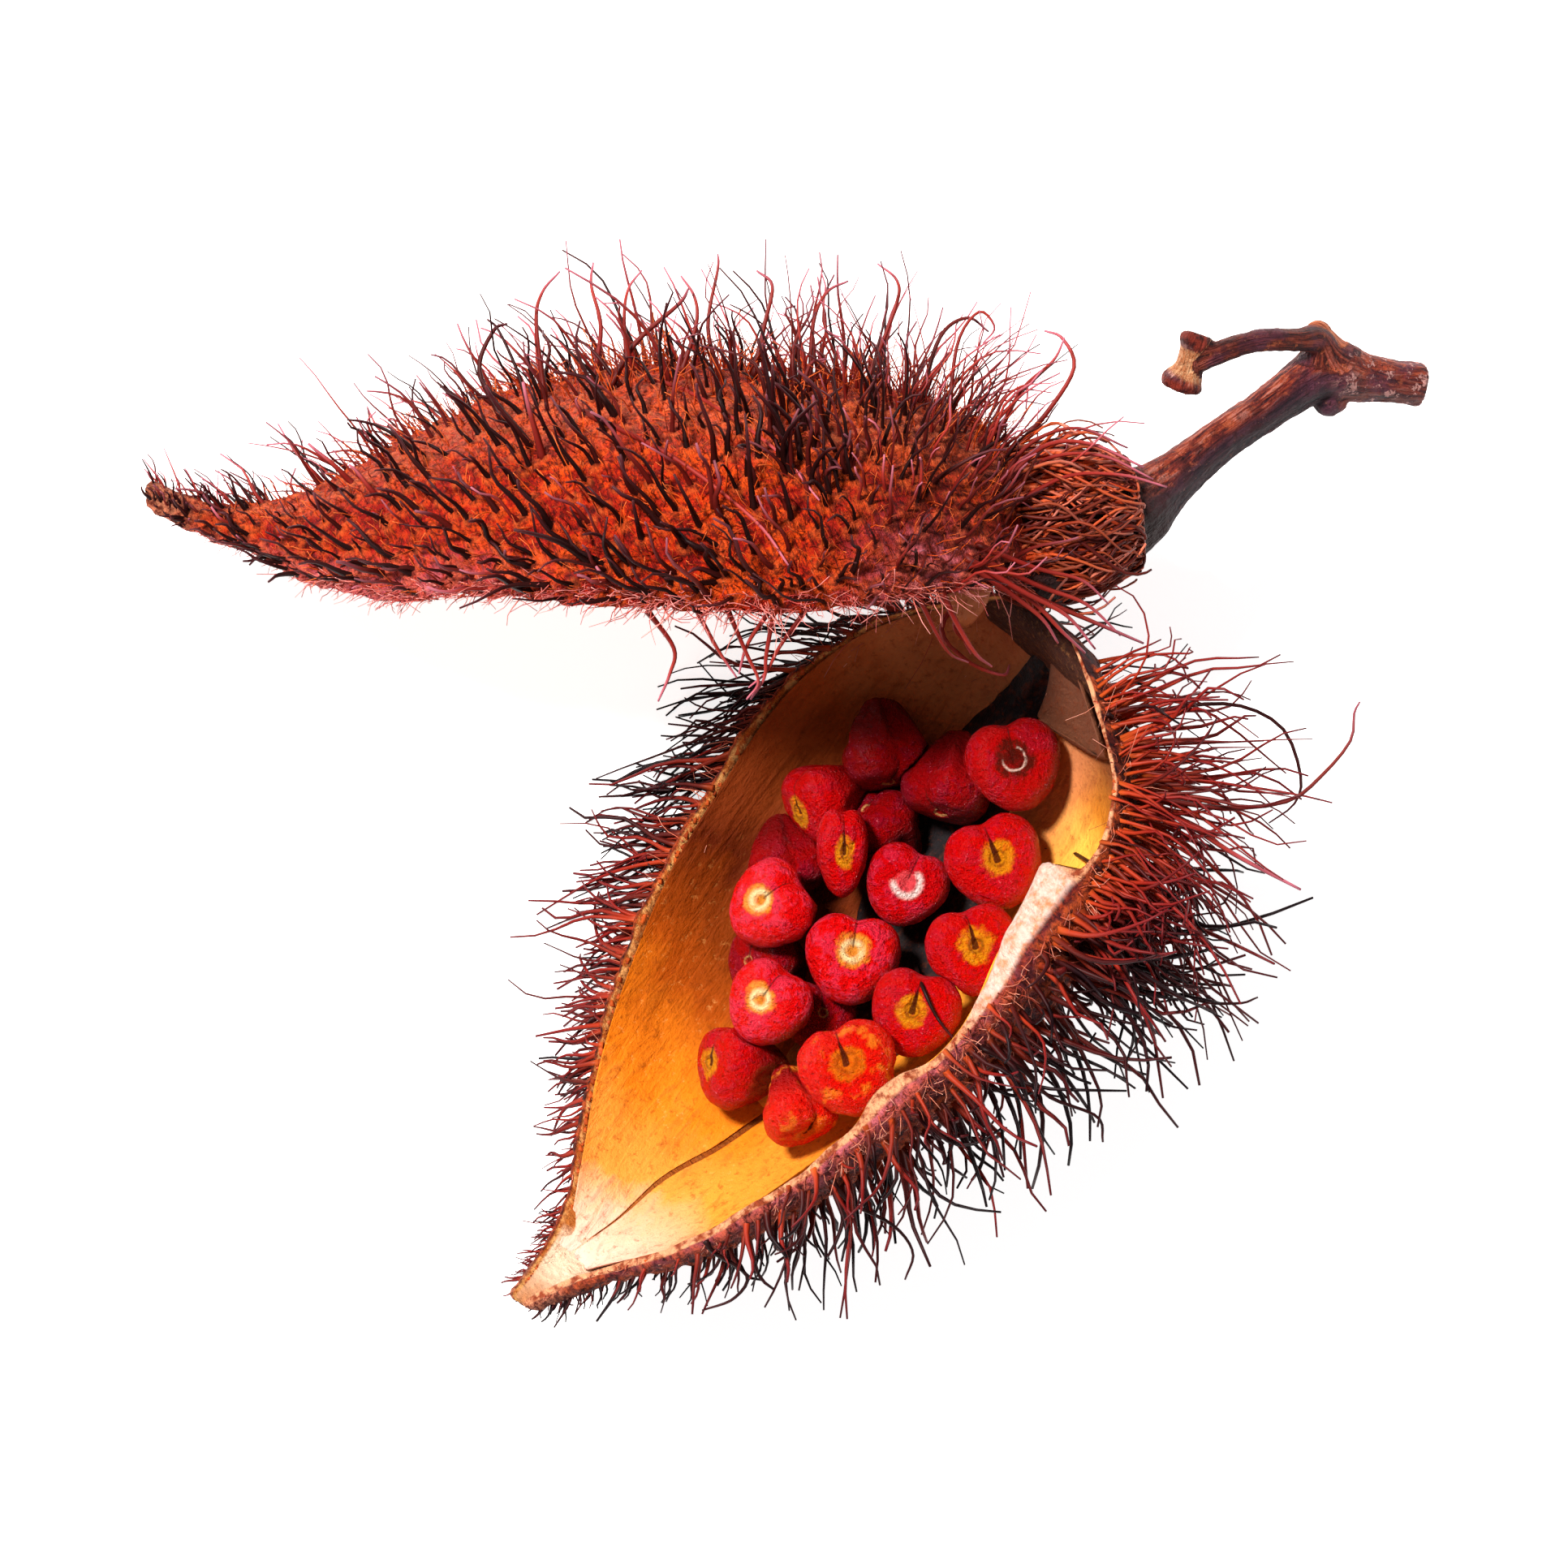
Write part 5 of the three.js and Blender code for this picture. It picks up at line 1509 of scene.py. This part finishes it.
COLOURING = [BROWN_FACED, RIPE, WHITE_RINGED, PALE_FACED, RIPE, PALE_FACED, PALE_FACED, ORANGE, RIPE,
             RIPE, ORANGE, RIPE, RIPE, DARK, DARK, DARK, DARK, DARK, DARK]
print("seed finishes:", len({made.name for made in COLOURING}), "kinds for", len(COLOURING), "seeds")

# %% [markdown]
# The bark reads the grain that was noted on the wood, so its streaks turn with every limb.

# %% Bark finish
STREAKS = [(0, 0x34101A), (0.4, 0x7E2A20), (0.75, 0xB04828), (1, 0xC87868)]
SHADED_STREAKS = [(0, 0x1C0A1A), (1, 0x3C2030)]
TWIG_STREAKS = [(0, 0x200808), (1, 0x8A3424)]
COLLAR_STREAKS = [(0, 0xA84420), (1, 0xF08A50)]
STUB_BAND = [(0, 0xF6B888), (1, 0xCC7848)]
STUB_LIPS = [(0, 0x8A2C1C), (1, 0x3E0C0C)]
# The mauve near the fork is painted sheen, and the near-black under the fibres is painted shade; the other
# colours are the bark's own marks.
MAUVE_SHEEN, DARK_SCALE, PALE_SCALE, FLECK, DUST, SHADE_UNDER_FIBRES = (0x6A3448, 0x3A0E12, 0xD06840, 0xE0A098,
                                                             0xC88068, 0x2A0A06)


def bark_finish():
    """Reddish on one side and dark purple on the other, the purple partly painted shade; a painted mauve
    sheen near the fork;
    painted shade on the wood where fibres cover it; pale flecks on the thick end. The limb attribute marks
    the stub and the collar, and the share along each."""
    finish = Finish("stem_bark")
    coordinates = finish.node("ShaderNodeAttribute", {"attribute_name": "bark"}).outputs["Vector"]
    run, right, up = finish.parts("bark")
    stub, collar, share = finish.parts("limb")
    long_grain = finish.node("ShaderNodeVectorMath", {"operation": "MULTIPLY"},
                             {0: coordinates, 1: (0.6, 5.0, 5.0)}).outputs[0]
    streaks = finish.noise(1.0, 5, 0.65, 0.3, long_grain)
    lumps = finish.noise(1.4, 4)
    grit = finish.noise(0.3, 5, 0.7)
    scales = finish.noise(0.7, 4, 0.7)
    colour = finish.ramp(streaks.rise(0.34, 0.66), STREAKS)
    # The side of each limb that faces away from the lamp is painted dark purple: partly the bark's own
    # colour, partly painted shade.
    shade = (right + up * -0.5 + (lumps - 0.5) * 0.8 + (streaks - 0.5) * 1.2).rise(-0.7, -0.1)
    thick = run.rise(19.0, 21.0)
    shade = shade * (1 - thick * 0.5)
    colour = finish.blend(shade * 0.95, colour, finish.ramp(streaks.rise(0.35, 0.65), SHADED_STREAKS))
    twig = run.rise(30.0, 31.5) * (1 - stub) * (1 - collar)
    colour = finish.blend(twig * 0.7, colour, finish.ramp(streaks.rise(0.4, 0.66), TWIG_STREAKS))
    # A painted mauve sheen near the fork.
    colour = finish.blend(run.rise(17.0, 19.0) * lumps.rise(0.45, 0.6) * 0.6, colour, paint(MAUVE_SHEEN))
    colour = finish.blend(scales.rise(0.52, 0.62) * 0.55, colour, paint(DARK_SCALE))
    colour = finish.blend(scales.rise(0.42, 0.34) * (1 - shade) * 0.5, colour, paint(PALE_SCALE))
    colour = finish.blend(scales.rise(0.56, 0.62) * thick * (1 - twig) * 0.9, colour, paint(FLECK))
    colour = finish.blend(grit.rise(0.6, 0.74) * 0.5, colour, paint(DUST))
    # Painted shade on the wood under the fibres.
    shaded_under_fibres = run.rise(9.5, 7.0) * (1 - stub) * (1 - collar)
    colour = finish.blend(shaded_under_fibres * 0.85, colour, paint(SHADE_UNDER_FIBRES))
    cream = stub * share.rise(0.3, 0.36) * share.rise(0.74, 0.66)
    colour = finish.blend(cream, colour, finish.ramp(grit.rise(0.35, 0.6), STUB_BAND))
    lips = finish.ramp(scales.rise(0.4, 0.6), STUB_LIPS)
    colour = finish.blend(stub * share.rise(0.34, 0.24), colour, lips)
    colour = finish.blend(stub * share.rise(0.72, 0.8), colour, lips)
    colour = finish.blend(collar * 0.8, colour, finish.ramp(streaks.rise(0.4, 0.6), COLLAR_STREAKS))
    return finish.surface(Base_Color=colour, Roughness=0.5 + grit * 0.3, Specular_IOR_Level=0.25,
                          Normal=finish.relief(streaks * 1.4 + grit * 0.6 + scales + lumps * 0.6, 0.6))


bark = bark_finish()
print("bark finish:", bark.name)

# %% [markdown]
# ## Dressing the pieces
# Each new piece rides on the frame's only body, takes its finish, and
# stands for the solid in the same place.

# %% Dress
# piece, material, slot of the record, and the solid that it stands for
DRESSES = (
    (lower_shell, lower_skin, "valve_wall", "lower_valve"),
    (lower_bristles, lower_horn, "valve_wall", "lower_valve"),
    (lower_down, tan_fluff, "valve_wall", "lower_valve"),
    (upper_shell, upper_skin_finish, "valve_wall", "upper_valve"),
    (upper_bristles, upper_horn, "valve_wall", "upper_valve"),
    (upper_down, fluff, "valve_wall", "upper_valve"),
    (upper_fringe, rosy_fluff, "valve_wall", "upper_valve"),
    (long_hairs, upper_horn, "valve_wall", "upper_valve"),
    (left_lining, gold_lining_with_painted_light, "lining", "lower_lining"),
    (right_lining, gold_lining_with_painted_light, "lining", "lower_lining_right"),
    (flap, shaded_flap_lining, "lining_dark", "lining_flap"),
    (upper_skin, pale_lining, "lining_pale", "upper_lining"),
    (seed_strip, strip_finish, "placenta", "placenta"),
    (stem, bark, "stem", "stem"),
    (fibres, fibre_hair, "stem", "stem"),
    (loops, fibre_hair, "stem", "stem"),
)
for piece, material, slot, node in DRESSES:
    dress(piece, material, slot, node)
for seed, piece, colouring in zip(HEAP, seed_pieces, COLOURING):
    dress(piece, colouring, "seed", seed.name)

# %% [markdown]
# ## Floor and light
# The pod lies on a plain white table. A square lamp high on the far left gives the form its
# shading, and a white surround fills the shadows. The table glows a little, so that it stays white.

# %% Floor
FLOOR_SIZE = 3             # metres
GLOW = 0.8                 # how strongly the table shines by itself
bpy.ops.mesh.primitive_grid_add(x_subdivisions=4, y_subdivisions=4, size=FLOOR_SIZE, location=(0, 0, 0))
floor = bpy.context.object
floor.name = "floor"
table = Finish("table_white")
floor.data.materials.append(table.surface(Base_Color=paint(0xF4F4F4), Roughness=0.9,
                                          Emission_Color=(1, 1, 1, 1), Emission_Strength=GLOW))
floor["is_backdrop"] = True
print("floor:", floor.name)

# %% [markdown]
# The key lamp is far smaller and stronger than the fill lamp opposite, so it alone casts shadows that
# have an edge. Each lamp is turned to face the pod by its own place.

# %% Lamps
SURROUND = 0.22            # strength of the white light from all sides


def lamp(name, toward, distance, size, power, colour=(1, 1, 1)):
    """A square lamp at a distance from the pod, facing it; toward points from the pod to the lamp."""
    direction = unit(np.array(toward, float))
    bpy.ops.object.light_add(type="AREA", location=tuple(direction * distance))
    light = bpy.context.object
    light.name = name
    light.data.shape = "SQUARE"
    light.data.size = size
    light.data.energy = power
    light.data.color = colour
    light.rotation_mode = "QUATERNION"
    light.rotation_quaternion = light.location.normalized().to_track_quat("Z", "Y")


lamp("key", toward=(-0.38, 0.36, 0.85), distance=0.9, size=0.14, power=17.0, colour=(1.0, 0.97, 0.93))
lamp("fill", toward=(0.6, -0.5, 0.7), distance=1.2, size=0.9, power=1.5)
world = bpy.data.worlds.new("surround")
bpy.context.scene.world = world
world.use_nodes = True
world.node_tree.nodes["Background"].inputs["Color"].default_value = (1, 1, 1, 1)
world.node_tree.nodes["Background"].inputs["Strength"].default_value = SURROUND
bpy.context.scene.view_settings.view_transform = "Standard"

# %% Sizes, and the end
new_low, new_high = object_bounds()
pieces = [thing for thing in bpy.context.scene.objects if thing.type == "MESH" and thing.data.materials]
print("all together:", sum(triangles(piece) for piece in pieces), "triangles")
for name, low, high in (("solids", cad_low, cad_high), ("dressed", new_low, new_high)):
    print(name, [round(v / MM, 2) for v in low], [round(v / MM, 2) for v in high])
